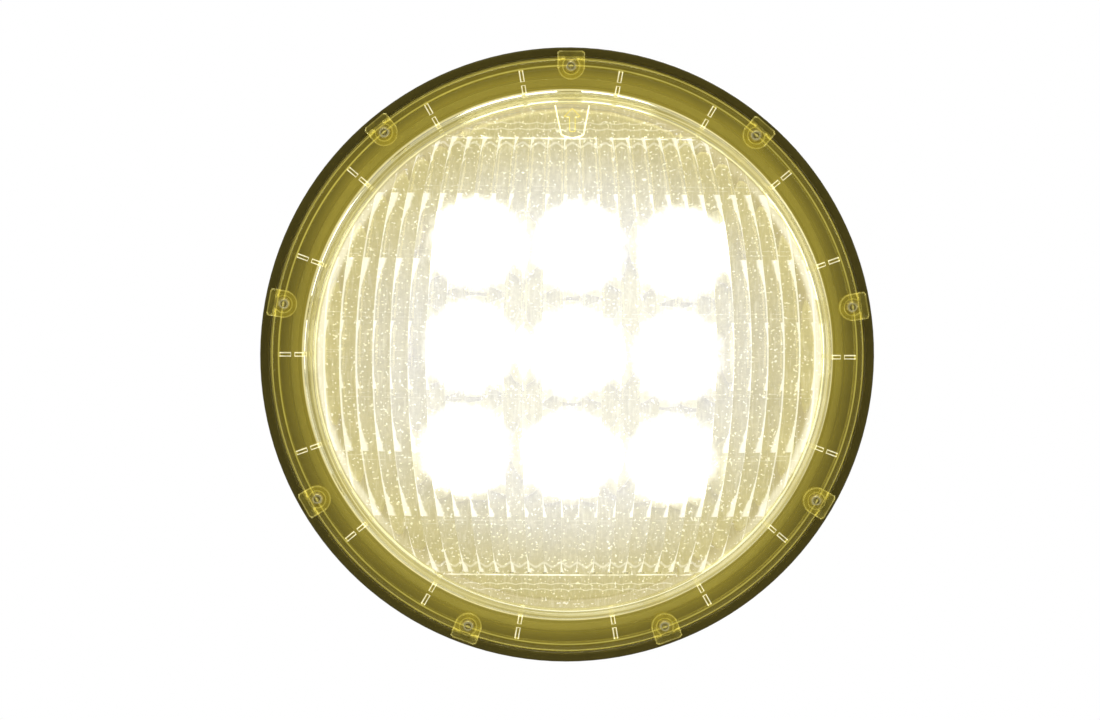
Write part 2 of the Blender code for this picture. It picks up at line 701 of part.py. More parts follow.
def build_terminal(label, centre, brass, steel, lamp):
    """Build one clamp plate and, turning in it, the screw that lifts it."""
    x = centre[0]
    clamp_axis = anchor(f"terminal_{label}_axis", (x, POST_TOP, 0.0), lamp)
    low = GAP
    high = GAP + CLAMP_THICKNESS
    corner = [(CLAMP_HALF_X, CLAMP_HALF_Z - CLAMP_CORNER), (CLAMP_HALF_X - CLAMP_CORNER, CLAMP_HALF_Z)]
    right_side = [(px, -pz) for px, pz in reversed(corner)] + corner
    plate = right_side + [(-px, -pz) for px, pz in right_side]
    bm = bmesh.new()
    add_prism(bm, plate, low, high)
    plate_mesh = mesh_from(bm, "clamp_plate")
    clamp = place(f"clamp_plate_{label}", plate_mesh, steel, clamp_axis, clamp_axis.location)
    hole = bmesh.new()
    drill(hole, [(x, 0.0)], POST_BORE, POST_TOP, POST_TOP + high + 0.001)
    combine(clamp, tool(f"clamp_hole_{label}", hole), "DIFFERENCE")
    head_back = high + GAP
    head_top = head_back + TERMINAL_HEAD_HEIGHT
    outline = [
        (0.0, TERMINAL_SHANK_END),
        (TERMINAL_SHANK - 0.0004, TERMINAL_SHANK_END),
        (TERMINAL_SHANK, TERMINAL_SHANK_END + 0.0005),
        (TERMINAL_SHANK, head_back),
        (TERMINAL_HEAD, head_back),
        (TERMINAL_HEAD, head_top - 0.0008),
        (TERMINAL_HEAD - 0.0008, head_top),
        (0.0, head_top),
    ]
    screw_mesh = turned_mesh("terminal_screw", outline, 16)
    screw = place(f"terminal_screw_{label}", screw_mesh, brass, clamp_axis, clamp_axis.location)
    slot = bmesh.new()
    half_slot = TERMINAL_SLOT_WIDTH / 2
    top = POST_TOP + head_top
    reach = TERMINAL_HEAD + 0.001
    low = (x - reach, top - TERMINAL_SLOT_DEPTH, -half_slot)
    add_block(slot, low, (x + reach, top + 0.001, half_slot))
    combine(screw, tool(f"screw_slot_{label}", slot), "DIFFERENCE")


def build_terminals(lamp):
    """Build both terminals: post, seal, clamp plate and screw."""
    brass = finish("terminal_brass", (0.78, 0.62, 0.30), 0.30, 1.0)
    steel = finish("clamp_steel", (0.72, 0.72, 0.70), 0.30, 1.0)
    rubber = finish("post_seal_rubber", (0.04, 0.04, 0.04), 0.60)
    for label, side in (("a", -1), ("b", 1)):
        centre = (side * TERMINAL_X, 0.0, 0.0)
        build_post(label, centre, brass, rubber, lamp)
        build_terminal(label, centre, brass, steel, lamp)


def build_lamp():
    """Build every piece of the lamp under one empty at the seat's centre."""
    clear_scene()
    lamp = anchor("pool_lamp")
    build_lens(lamp)
    build_seal(lamp)
    build_housing(lamp)
    build_flange_screws(lamp)
    build_light_board(lamp)
    build_emitters(lamp)
    build_tray(lamp)
    build_driver(lamp)
    build_wires(lamp)
    build_terminals(lamp)


build_lamp()
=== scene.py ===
"""Sealed round LED lamp for a pool niche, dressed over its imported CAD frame.

Metres, +Z up. The lamp's axis lies along Y: the lens faces -Y and the terminals face +Y. The origin is
the centre of the rim's rear face. Each sub-assembly is a class that builds its pieces and dresses them.
"""

import functools
import logging
import math
from collections.abc import Callable, Iterable, Sequence
from dataclasses import dataclass
from enum import Enum

import bmesh
import bpy
from bpy.types import Material, Node, NodeSocket, Object
from mathutils import Matrix, Vector


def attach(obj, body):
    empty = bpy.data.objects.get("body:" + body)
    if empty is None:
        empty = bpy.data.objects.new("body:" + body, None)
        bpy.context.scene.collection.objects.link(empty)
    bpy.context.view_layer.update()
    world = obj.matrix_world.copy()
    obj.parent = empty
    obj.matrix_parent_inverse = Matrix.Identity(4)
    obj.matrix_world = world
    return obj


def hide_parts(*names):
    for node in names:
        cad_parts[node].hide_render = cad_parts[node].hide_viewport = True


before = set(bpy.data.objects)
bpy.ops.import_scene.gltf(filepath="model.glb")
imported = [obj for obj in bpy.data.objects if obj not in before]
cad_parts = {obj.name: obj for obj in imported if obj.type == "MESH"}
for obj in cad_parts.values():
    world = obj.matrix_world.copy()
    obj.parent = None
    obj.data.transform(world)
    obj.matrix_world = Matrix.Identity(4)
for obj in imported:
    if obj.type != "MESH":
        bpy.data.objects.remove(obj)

LOG = logging.getLogger("pool_lamp")

Point = tuple[float, float, float]
Flat = tuple[float, float]
Colour = tuple[float, float, float]
Surface = Callable[[float, float], float]
Key = tuple[int, int]

SMOOTH_ANGLE = math.radians(38)
CRISP_ANGLE = math.radians(30)
TINY = 1e-9


class Body(str, Enum):
    """The CAD bodies that pieces ride on."""

    LAMP = "lamp"
    CLAMP_A = "clamp_a"
    SCREW_A = "screw_a"
    CLAMP_B = "clamp_b"
    SCREW_B = "screw_b"


class Slot(str, Enum):
    """The record's material slots."""

    COVER = "clear_cover"
    SILICONE = "silicone"
    HOUSING = "housing_plastic"
    STEEL = "screw_steel"
    BOARD = "board_white"
    ALUMINIUM = "aluminium"
    EMITTER = "emitter"
    REFLECTOR = "reflector"
    TRAY = "tray_white"
    DRIVER = "driver_green"
    BRASS = "brass"
    SLEEVE = "capacitor_sleeve"
    COPPER = "winding_copper"
    BLACK = "component_black"
    WIRE_RED = "wire_red"
    WIRE_BLACK = "wire_black"
    CLAMP = "clamp_steel"
    RUBBER = "seal_rubber"


class Terminal(Enum):
    """The two supply terminals, by the letter in their names."""

    A = "a"
    B = "b"

    @property
    def side(self) -> float:
        """Return -1 or 1 along X."""
        return -1.0 if self is Terminal.A else 1.0

    def body(self, part: str) -> Body:
        """Return the body of this terminal's clamp or screw."""
        return Body(f"{part}_{self.value}")


# --- Finishes ---

DARK: Colour = (0.0, 0.0, 0.0)
WHITE: Colour = (1.0, 1.0, 1.0)
EVEN: Point = (1.0, 1.0, 1.0)


class Value:
    """Something that a material's nodes work out at each place; arithmetic on it adds Math nodes."""

    def __init__(self, graph: "Graph", socket: NodeSocket) -> None:
        """Hold one output of a graph."""
        self.graph = graph
        self.socket = socket

    def __add__(self, other: "Scalar") -> "Value":
        """Return the sum."""
        return self.graph.math("ADD", self, other)

    def __sub__(self, other: "Scalar") -> "Value":
        """Return the difference."""
        return self.graph.math("SUBTRACT", self, other)

    def __rsub__(self, other: float) -> "Value":
        """Return a plain number less this."""
        return self.graph.math("SUBTRACT", other, self)

    def __mul__(self, other: "Scalar") -> "Value":
        """Return the product."""
        return self.graph.math("MULTIPLY", self, other)

    def __truediv__(self, other: "Scalar") -> "Value":
        """Return the quotient."""
        return self.graph.math("DIVIDE", self, other)

    def __abs__(self) -> "Value":
        """Return the size without the sign."""
        return self.graph.math("ABSOLUTE", self)

    __radd__ = __add__
    __rmul__ = __mul__

    def smooth(self, low: "Scalar", high: "Scalar") -> "Value":
        """Return 0 at low, 1 at high and a smooth step between; low may be the larger of the two."""
        made = self.graph.node("ShaderNodeMapRange", interpolation_type="SMOOTHSTEP")
        for key, item in (("Value", self), ("From Min", low), ("From Max", high)):
            self.graph.put(made.inputs[key], item)
        return Value(self.graph, made.outputs[0])

    def line(self, centre: "Scalar", half: float) -> "Value":
        """Return 1 at a centre value, falling smoothly to 0 at half a width from it."""
        return 1.0 - abs(self - centre).smooth(half * 0.35, half)


Scalar = Value | float


class Graph:
    """A material's node tree, with short ways to add to it."""

    BUMP_STRENGTH = 0.6

    def __init__(self, name: str) -> None:
        """Start a material that holds one Principled shader."""
        self.material: Material = bpy.data.materials.new(name)
        self.material.use_nodes = True
        self.tree = self.material.node_tree
        self.shader: Node = self.tree.nodes["Principled BSDF"]

    def node(self, kind: str, **settings: object) -> Node:
        """Add a node and set its properties."""
        made = self.tree.nodes.new(kind)
        for key, value in settings.items():
            setattr(made, key, value)
        return made

    def put(self, socket: NodeSocket, value: object) -> None:
        """Link a value into a socket, or set a plain one on it."""
        if isinstance(value, Value):
            self.tree.links.new(value.socket, socket)
        elif isinstance(value, tuple) and len(value) == 3 and socket.type == "RGBA":
            socket.default_value = (*value, 1.0)
        else:
            socket.default_value = value

    def feed(self, **inputs: object) -> None:
        """Set or link inputs of the Principled shader, each named with _ for a space."""
        for name, value in inputs.items():
            self.put(self.shader.inputs[name.replace("_", " ")], value)

    def math(self, operation: str, *values: Scalar) -> Value:
        """Return the result of a Math node."""
        made = self.node("ShaderNodeMath", operation=operation)
        for socket, value in zip(made.inputs, values):
            self.put(socket, value)
        return Value(self, made.outputs[0])

    def mix(self, share: Scalar, first: object, second: object, how: str = "MIX") -> Value:
        """Return a colour between two colours, or blended from them in another way."""
        made = self.node("ShaderNodeMix", data_type="RGBA", blend_type=how)
        for index, value in ((0, share), (6, first), (7, second)):
            self.put(made.inputs[index], value)
        return Value(self, made.outputs[2])

    def source(self, kind: str, output: str, **settings: object) -> Value:
        """Return an output of a node that takes no input."""
        return Value(self, self.node(kind, **settings).outputs[output])

    def split(self, vector: Value) -> tuple[Value, Value, Value]:
        """Return a vector's three parts."""
        made = self.node("ShaderNodeSeparateXYZ")
        self.put(made.inputs[0], vector)
        return tuple(Value(self, output) for output in made.outputs)

    def place(self, stretch: Point = EVEN) -> Value:
        """Return the object coordinates, stretched along each axis."""
        mapping = self.node("ShaderNodeMapping")
        self.put(mapping.inputs["Vector"], self.source("ShaderNodeTexCoord", "Object"))
        self.put(mapping.inputs["Scale"], stretch)
        return Value(self, mapping.outputs[0])

    def axes(self) -> tuple[Value, Value, Value, Value]:
        """Return the object's x, y and z and the distance from the lamp's axis."""
        x, y, z = self.split(self.place())
        return x, y, z, self.math("SQRT", x * x + z * z)

    def noise(self, scale: float, detail: float = 2.0, stretch: Point = EVEN) -> Value:
        """Return noise between 0 and 1 with a scale per metre."""
        made = self.node("ShaderNodeTexNoise")
        for key, value in (("Vector", self.place(stretch)), ("Scale", scale), ("Detail", detail)):
            self.put(made.inputs[key], value)
        return Value(self, made.outputs["Fac"])

    def bump(self, height: Value, depth: float) -> None:
        """Give the shader a bump of a depth in metres."""
        made = self.node("ShaderNodeBump")
        for key, value in (("Strength", self.BUMP_STRENGTH), ("Distance", depth), ("Height", height)):
            self.put(made.inputs[key], value)
        self.feed(Normal=Value(self, made.outputs[0]))

    def glow(self, colour: Value) -> None:
        """Make the shader give off a colour."""
        self.feed(Emission_Color=colour, Emission_Strength=1.0)


def scaled(colour: Colour, factor: float) -> Colour:
    """Return a colour made darker or lighter, no channel over 1."""
    return tuple(min(1.0, channel * factor) for channel in colour)


@dataclass(frozen=True)
class Finish:
    """A surface finish whose colour, roughness and relief vary a little from place to place."""

    name: str
    colour: Colour
    roughness: float
    metallic: float = 0.0
    mottle: float = 0.10
    grain: float = 600.0
    stretch: Point = EVEN
    rough_span: float = 0.10
    relief: float = 0.00003
    specular: float = 0.5
    tint: Colour = WHITE
    coat: float = 0.0

    def dress(self, graph: Graph) -> None:
        """Set the shader for this finish."""
        broad = graph.noise(self.grain * 0.12, 3.0)
        fine = graph.noise(self.grain, 4.0, self.stretch)
        share = (broad * 0.65 + fine * 0.35).smooth(0.3, 0.7)
        darker, lighter = scaled(self.colour, 1.0 - self.mottle), scaled(self.colour, 1.0 + self.mottle)
        smoothest = max(0.02, self.roughness - self.rough_span / 2)
        graph.feed(
            Base_Color=graph.mix(share, darker, lighter),
            Roughness=smoothest + fine * self.rough_span,
            Metallic=self.metallic,
            Specular_IOR_Level=self.specular,
            Specular_Tint=self.tint,
            Coat_Weight=self.coat,
            Coat_Roughness=0.08,
        )
        graph.bump(fine, self.relief)

    def build(self) -> Material:
        """Return this finish as a material."""
        graph = Graph(self.name)
        self.dress(graph)
        return graph.material


@dataclass(frozen=True)
class HousingFinish(Finish):
    """Olive moulded plastic with painted light: a painted glow under the clear flange stands in for
    light that leaks out of the lens.
    """

    # Painted light: leak is the colour of a faint painted glow on the front faces, and near is a
    # brighter painted light on the flange and the pocket walls; top_share and bottom_share make the glow
    # lighter at the top and bottom.
    leak: Colour = (0.24, 0.198, 0.028)
    near: Colour = (0.52, 0.465, 0.34)
    leak_radii: Flat = (0.0762, 0.0850)
    leak_share: float = 0.72
    floor_radii: Flat = (0.0863, 0.0861)
    floor_share: float = 0.26
    front: Flat = (-0.0034, -0.0028)
    top_share: float = 0.75
    bottom_share: float = 0.25
    flange_radii: Flat = (0.0764, 0.0738)
    flange_front: Flat = (-0.0030, -0.0040)
    pocket_radii: Flat = (0.0726, 0.0722)
    pocket_back: Flat = (0.0080, 0.0070)

    def dress(self, graph: Graph) -> None:
        """Paint the leaking light onto the moulded plastic as emission."""
        super().dress(graph)
        x, y, z, radius = graph.axes()
        # Painted glow on the front faces: faint everywhere inside the rim, stronger towards the lens.
        inward = 1.0 - radius.smooth(*self.leak_radii)
        front = 1.0 - y.smooth(*self.front)
        floor = radius.smooth(*self.floor_radii) * self.floor_share
        # Painted light: the glow is lighter towards the top and the bottom of the housing.
        rise = z / radius
        above = rise.smooth(0.1, 1.0) * self.top_share
        below = rise.smooth(-0.1, -1.0) * self.bottom_share
        uneven = (0.75 + graph.noise(45.0) * 0.5) * (1.0 + (above + below))
        share = (floor + inward * self.leak_share) * front * uneven
        faint = graph.mix(share, DARK, self.leak)
        # Painted light: the brighter near colour on the inner part of the flange's front face, and on
        # the pocket's walls and ledge where their normal faces inwards or forwards.
        flange = radius.smooth(*self.flange_radii) * y.smooth(*self.flange_front)
        across, along, up = graph.split(graph.source("ShaderNodeNewGeometry", "Normal"))
        outward = across * x + up * z
        inside = graph.math("MAXIMUM", outward.smooth(0.0, -0.02), along.smooth(0.0, -0.3))
        pocket = radius.smooth(*self.pocket_radii) * y.smooth(*self.pocket_back) * inside
        graph.glow(graph.mix(graph.math("MAXIMUM", flange, pocket), faint, self.near))


@dataclass(frozen=True)
class GlowFinish(Finish):
    """A surface that gives off light falling from the middle of the lamp to its edge: the emitters' own
    light, and painted light on the tray and the reflector cups.
    """

    # Painted light on the tray and cups: middle and edge are the glow's colours, reach is where it
    # fades, and speckle is how patchy it is.
    middle: Colour = (0.60, 0.62, 1.02)
    edge: Colour = (0.33, 0.282, 0.19)
    reach: Flat = (0.039, 0.070)
    speckle: float = 0.15

    def dress(self, graph: Graph) -> None:
        """Add the light to the surface: painted light on the tray and cups, the emitters' own light on
        the emitters.
        """
        super().dress(graph)
        lit = graph.mix(graph.axes()[3].smooth(*self.reach), self.middle, self.edge)
        patch = graph.noise(900.0, 3.0).smooth(0.35, 0.75)
        flicker = graph.mix(patch, scaled(WHITE, 1.0 - self.speckle), WHITE)
        graph.glow(graph.mix(1.0, lit, flicker, "MULTIPLY"))


@dataclass(frozen=True)
class ClearFinish(Finish):
    """Clear tinted moulding with a faint painted glow all over, standing in for the light it carries."""

    bend: float = 1.49
    glow: Colour = (0.05, 0.044, 0.010)

    def dress(self, graph: Graph) -> None:
        """Make the surface see-through with an even, slightly patchy painted glow."""
        super().dress(graph)
        graph.feed(Transmission_Weight=1.0, IOR=self.bend)
        patch = graph.noise(400.0, 3.0).smooth(0.25, 0.75)
        graph.glow(graph.mix(patch, scaled(self.glow, 0.55), self.glow))


@dataclass(frozen=True)
class LensFinish(ClearFinish):
    """Clear front moulding with painted light: painted highlight strokes along the lenslets' outer
    flanks, painted light on the stepped rings and the bead's edges, and a painted haze round each
    emitter.
    """

    face_radius: float = 0.0729
    # Painted light colours: stroke for the strokes, specks, haze and lines on the face; ring for the
    # stepped rings; edge_light for the bead's edges; brightest caps the face's painted light.
    stroke: Colour = (0.40, 0.42, 0.44)
    ring: Colour = (0.36, 0.34, 0.22)
    edge_light: Colour = (0.30, 0.26, 0.05)
    brightest: float = 1.6
    haze_share: float = 1.2
    haze_reach: Flat = (0.0100, 0.0145)
    grid_pitch: float = 0.0297
    grid_turn_deg: float = -2.4
    grid_shift: Flat = (0.0006, 0.0021)
    chord_height: float = 0.0626
    scallop_heights: Flat = (0.0655, 0.0672)
    scallop_waves: float = 620.0
    face_end: Flat = (0.0728, 0.0722)
    ring_lines: tuple[Flat, ...] = ((0.0731, 0.7), (0.0746, 0.4), (0.0757, 0.3), (0.0767, 0.7))
    bead_edges: Flat = (0.0837, 0.0855)

    def strokes(self, graph: Graph, x: Value, radius: Value) -> Value:
        """Return the painted highlight strokes along the lenslets' outer flanks, widest at each row's
        outer end, with painted arches on the outermost row and faint painted line pairs.

        Args:
            graph: the material's graph.
            x: the distance to the right of the axis.
            radius: the distance from the axis.

        Returns:
            A number from 0 to about 1.
        """
        column, row, _ = graph.split(graph.source("ShaderNodeUVMap", "UV", uv_map=FrontLens.CELL_MAP))
        column, row, sideways = abs(column), abs(row), abs(x)
        across, along = graph.math("FRACT", column + 0.5), graph.math("FRACT", row)
        aside, tail = sideways.smooth(0.004, 0.055), sideways.smooth(0.042, 0.066)
        ragged = (graph.noise(500.0, 3.0) - 0.5) * 0.40
        grown = (along + ragged).smooth(0.72 + aside * -0.50, 1.06)
        flare = grown * grown * (0.24 + aside * 0.30) * (0.12 + row.smooth(0.2, 2.6) * 0.9)
        width = 0.04 + tail * 0.11 + flare
        soft = 1.0 - (1.0 - across).smooth(width * 0.55, width)
        present = graph.math("MAXIMUM", grown.smooth(0.0, 0.08), 0.18 + tail * 0.75)
        bow = 0.86 + graph.math("COSINE", across * (2.0 * math.pi)) * -0.035
        arch = along.line(bow, 0.030) * row.smooth(3.0, 3.02) * 0.45
        pair = along.line(0.06, 0.012) + along.line(0.13, 0.010)
        faint = pair * graph.noise(500.0).smooth(0.40, 0.65) * 0.30
        drawn = graph.math("MAXIMUM", graph.math("MAXIMUM", soft * present, arch), faint)
        return drawn * radius.smooth(self.face_radius, self.face_radius - 0.0006)

    def ripples(self, graph: Graph, x: Value, z: Value, radius: Value) -> Value:
        """Return the faint painted light lines: scalloped ones on the plain segments, and the chord
        below them.
        """
        height = abs(z)
        lifted = height + abs(graph.math("SINE", x * self.scallop_waves)) * 0.00045
        low, high = self.scallop_heights
        scallops = lifted.line(low, 0.00022) + lifted.line(high, 0.00020)
        chord = height.line(self.chord_height, 0.00028) * graph.noise(300.0).smooth(0.36, 0.60)
        return (scallops * 0.30 + chord) * radius.smooth(0.0724, 0.0716)

    def rings(self, graph: Graph, radius: Value) -> Value:
        """Return the painted light on the stepped rings and the channel's inner edge."""
        uneven = 0.45 + graph.noise(60.0, 3.0) * 0.9
        light = radius.smooth(0.0690, 0.0718) * radius.smooth(*self.face_end) * 0.18
        light += radius.smooth(0.0726, 0.0732) * radius.smooth(0.0772, 0.0766) * 0.20
        for place, share in self.ring_lines:
            light += radius.line(place, 0.0003) * share
        return light * uneven

    def bead(self, graph: Graph, radius: Value) -> Value:
        """Return the faint painted highlights along the bead's two edges."""
        inner, outer = self.bead_edges
        uneven = 0.45 + graph.noise(80.0, 3.0)
        return (radius.line(inner, 0.0003) + radius.line(outer, 0.00025)) * uneven

    def glows(self, graph: Graph, x: Value, z: Value) -> Value:
        """Return the painted haze of light round each emitter on the lens, ragged at its edge."""
        cosine, sine = on_circle(1.0, self.grid_turn_deg)
        across, up = x - self.grid_shift[0], z - self.grid_shift[1]
        squares = []
        for value in (across * cosine + up * sine, across * -sine + up * cosine):
            cell = graph.math("MINIMUM", graph.math("ROUND", value / self.grid_pitch), 1.0)
            rest = value - graph.math("MAXIMUM", cell, -1.0) * self.grid_pitch
            squares.append(rest * rest)
        ragged = (graph.noise(260.0, 4.0, (1.6, 1.0, 1.0)) - 0.5) * 0.0060
        distance = graph.math("SQRT", squares[0] + squares[1]) + ragged
        return 1.0 - distance.smooth(*self.haze_reach)

    def dress(self, graph: Graph) -> None:
        """Put all the painted light over the clear moulding as emission."""
        super().dress(graph)
        x, _, z, radius = graph.axes()
        # Painted light: small bright specks, and grain, which here is fine vertical streaks of painted
        # light, over the fluted face.
        specks = graph.noise(1300.0, 0.0).smooth(0.73, 0.77) * 0.90
        grain = graph.noise(1600.0, 1.0, (1.0, 1.0, 0.10)).smooth(0.52, 0.72) * 0.16
        specks = (specks + grain) * radius.smooth(self.face_radius, self.face_radius - 0.001)
        haze = self.glows(graph, x, z) * self.haze_share
        # Painted light: a band along the face's edge on the left and right sides.
        flank = (abs(x) / radius).smooth(0.62, 0.92)
        merged = radius.smooth(0.0700, 0.0713) * radius.smooth(*self.face_end) * flank * 0.42
        lines = self.strokes(graph, x, radius) + specks + haze + self.ripples(graph, x, z, radius)
        face = graph.mix(graph.math("MINIMUM", lines + merged, self.brightest), DARK, self.stroke)
        rings = graph.mix(self.rings(graph, radius), DARK, self.ring)
        edges = graph.mix(self.bead(graph, radius), rings, self.edge_light)
        graph.glow(graph.mix(1.0, face, edges, "ADD"))


OLIVE_TINT: Colour = (1.0, 0.92, 0.45)

# Painted light: the housing carries the painted glow under the clear flange.
HOUSING = HousingFinish(
    "housing_plastic", (0.060, 0.048, 0.008), 0.36, grain=1400.0, relief=0.00002, specular=0.18,
    tint=OLIVE_TINT,
)
# Painted light: the lens carries all of LensFinish's painted strokes, rings, haze and specks.
CLEAR = LensFinish(
    "clear_moulding", (0.93, 0.90, 0.62), 0.05, mottle=0.02, grain=300.0, rough_span=0.04,
    relief=0.00001, tint=OLIVE_TINT,
)
# Painted light on the lens's small parts: clear_boss has a faint painted glow, clear_edge a painted edge
# highlight on the ribs' sides, the lugs' bevels and the arrow, and the brightest one a near-white
# painted highlight on the ribs' bevelled tops and the arrow's pad.
CLEAR_BOSS = ClearFinish(
    "clear_boss", (0.80, 0.75, 0.40), 0.10, mottle=0.03, rough_span=0.06, relief=0.00002,
    tint=OLIVE_TINT, glow=(0.08, 0.068, 0.008),
)
CLEAR_EDGE = ClearFinish(
    "clear_edge", (0.90, 0.85, 0.50), 0.12, mottle=0.03, rough_span=0.06, relief=0.00002,
    tint=OLIVE_TINT, glow=(0.24, 0.205, 0.04),
)
PAINTED_EDGE_HIGHLIGHT = ClearFinish(
    "clear_edge_painted_highlight", (0.93, 0.90, 0.62), 0.12, mottle=0.03, rough_span=0.06, relief=0.00002,
    glow=(0.85, 0.82, 0.62),
)
# Painted light: the tray glows, brightest in the middle, standing in for light spilled from the
# emitters.
TRAY = GlowFinish("tray_plastic", (0.36, 0.34, 0.24), 0.45, grain=800.0, relief=0.00005)
# Painted reflection: the reflector cups glow evenly, standing in for the emitters' light that they
# reflect.
CUP = GlowFinish(
    "reflector_metallised", (0.60, 0.59, 0.55), 0.14, metallic=1.0, mottle=0.04, relief=0.00001,
    middle=(1.4, 1.42, 2.2), edge=(1.4, 1.42, 2.2), speckle=0.10,
)
# Painted light: the cups' rolled rims glow, falling from the middle of the lamp to its edge.
CUP_RIM = GlowFinish(
    "reflector_rim", (0.50, 0.48, 0.38), 0.35, metallic=0.5, mottle=0.06, relief=0.00001
)
EMITTER = GlowFinish(
    "emitter_phosphor", (0.95, 0.88, 0.45), 0.20, mottle=0.05, coat=1.0,
    middle=(1.8, 1.82, 2.6), edge=(1.8, 1.82, 2.6), speckle=0.05,
)
# Painted light: the seal ring takes the housing's painted glow under the clear flange.
SILICONE = HousingFinish("silicone_rubber", (0.10, 0.085, 0.02), 0.55, grain=900.0, specular=0.2)
STEEL = Finish("stainless_steel", (0.56, 0.52, 0.36), 0.30, metallic=1.0, mottle=0.08, relief=0.00002)
PASSIVATED = Finish(
    "passivated_steel", (0.50, 0.45, 0.22), 0.34, metallic=0.9, mottle=0.12, relief=0.00002,
    tint=OLIVE_TINT,
)
BRASS = Finish("turned_brass", (0.78, 0.58, 0.27), 0.28, metallic=1.0, mottle=0.10, relief=0.00002)
CLAMP = Finish("plated_steel", (0.70, 0.70, 0.68), 0.32, metallic=1.0, mottle=0.08, relief=0.00002)
BOARD = Finish("board_mask_white", (0.86, 0.86, 0.82), 0.38, mottle=0.04, coat=0.3)
ALUMINIUM = Finish(
    "extruded_aluminium", (0.74, 0.74, 0.76), 0.36, metallic=1.0, grain=500.0, stretch=(8.0, 8.0, 0.6),
    relief=0.00004,
)
DRIVER = Finish("board_mask_green", (0.03, 0.20, 0.08), 0.40, mottle=0.15, coat=0.4)
SLEEVE = Finish("shrunk_sleeve", (0.04, 0.055, 0.12), 0.35, mottle=0.12)
COPPER = Finish("enamelled_copper", (0.70, 0.32, 0.14), 0.30, metallic=1.0, grain=1800.0, relief=0.00008)
EPOXY = Finish("moulded_epoxy", (0.025, 0.025, 0.027), 0.55, grain=2500.0, relief=0.00003)
RED = Finish("wire_sleeve_red", (0.50, 0.03, 0.02), 0.42, mottle=0.12)
BLACK = Finish("wire_sleeve_black", (0.02, 0.02, 0.022), 0.42, mottle=0.15)
RUBBER = Finish("black_rubber", (0.03, 0.03, 0.032), 0.60, grain=1500.0, relief=0.00003)
FLOOR = Finish("pale_floor", (0.86, 0.86, 0.85), 0.60, mottle=0.01, grain=20.0, relief=0.0001)


@functools.cache
def material_of(finish: Finish) -> Material:
    """Return the one material of a finish."""
    return finish.build()


STRAIGHT_ANGLE = math.radians(160)
RIDGE_PROFILE: tuple[Flat, ...] = (
    (-0.5, 0.25), (-0.5, -0.3), (-0.3, -0.8), (0.0, -1.0), (0.3, -0.8), (0.5, -0.3), (0.5, 0.25),
)
STIFFENER_PROFILE: tuple[Flat, ...] = (
    (-0.0011, -0.0006), (-0.0008, 0.0009), (-0.0003, 0.0012),
    (0.0003, 0.0012), (0.0008, 0.0009), (0.0011, -0.0006),
)


# --- Shapes ---


def on_circle(radius: float, degrees: float) -> Flat:
    """Return the (x, z) point at an angle from +X towards +Z."""
    angle = math.radians(degrees)
    return radius * math.cos(angle), radius * math.sin(angle)


def circle(radius: float, steps: int, start_deg: float = 0.0) -> list[Flat]:
    """Return the (x, z) points of a circle about the origin."""
    return [on_circle(radius, start_deg + 360.0 * step / steps) for step in range(steps)]


def blend(share: float) -> float:
    """Return a smooth step of a share between 0 and 1."""
    share = min(1.0, max(0.0, share))
    return share * share * (3.0 - 2.0 * share)


def rounded(outline: Sequence[Flat], corner: float, steps: int = 3, closed: bool = True) -> list[Flat]:
    """Round the corners of an outline.

    Args:
        outline: the points in order.
        corner: how far from a corner its round starts, less where an edge is short.
        steps: how many parts each round has.
        closed: whether the last point joins the first; otherwise the two ends stay as they are.

    Returns:
        The points with every real corner replaced by a short curve.
    """
    count = len(outline)
    points: list[Flat] = []
    for index, point in enumerate(outline):
        here = Vector(point)
        back = Vector(outline[index - 1]) - here
        ahead = Vector(outline[(index + 1) % count]) - here
        is_end = not closed and index in (0, count - 1)
        if is_end or min(back.length, ahead.length) < TINY or back.angle(ahead) > STRAIGHT_ANGLE:
            points.append(point)
            continue
        cut = min(corner, 0.45 * back.length, 0.45 * ahead.length)
        start = here + back.normalized() * cut
        end = here + ahead.normalized() * cut
        for step in range(steps + 1):
            share = step / steps
            curve = start.lerp(here, share).lerp(here.lerp(end, share), share)
            points.append((curve.x, curve.y))
    return points


def rounded_box(half_x: float, half_z: float, corner: float, steps: int = 5) -> list[Flat]:
    """Return a rectangle's (x, z) outline about the origin with round corners."""
    box = [(-half_x, -half_z), (half_x, -half_z), (half_x, half_z), (-half_x, half_z)]
    return rounded(box, corner, steps)


def shifted(outline: Iterable[Flat], centre: Flat) -> list[Flat]:
    """Return an outline moved to a centre."""
    return [(x + centre[0], z + centre[1]) for x, z in outline]


def rotated(outline: Iterable[Flat], degrees: float) -> list[Flat]:
    """Return an outline turned about the origin, from +X towards +Z."""
    cosine, sine = math.cos(math.radians(degrees)), math.sin(math.radians(degrees))
    return [(x * cosine - z * sine, x * sine + z * cosine) for x, z in outline]


def inset(outline: Sequence[Flat], distance: float) -> list[Flat]:
    """Return an outline pulled inwards by a distance, towards its own middle."""
    middle = sum((Vector(point) for point in outline), Vector((0.0, 0.0))) / len(outline)
    points: list[Flat] = []
    for index, point in enumerate(outline):
        here = Vector(point)
        along = Vector(outline[(index + 1) % len(outline)]) - Vector(outline[index - 1])
        normal = Vector((-along.y, along.x)).normalized() if along.length > TINY else middle - here
        if normal.dot(middle - here) < 0.0:
            normal = -normal
        moved = here + normal * distance
        points.append((moved.x, moved.y))
    return points


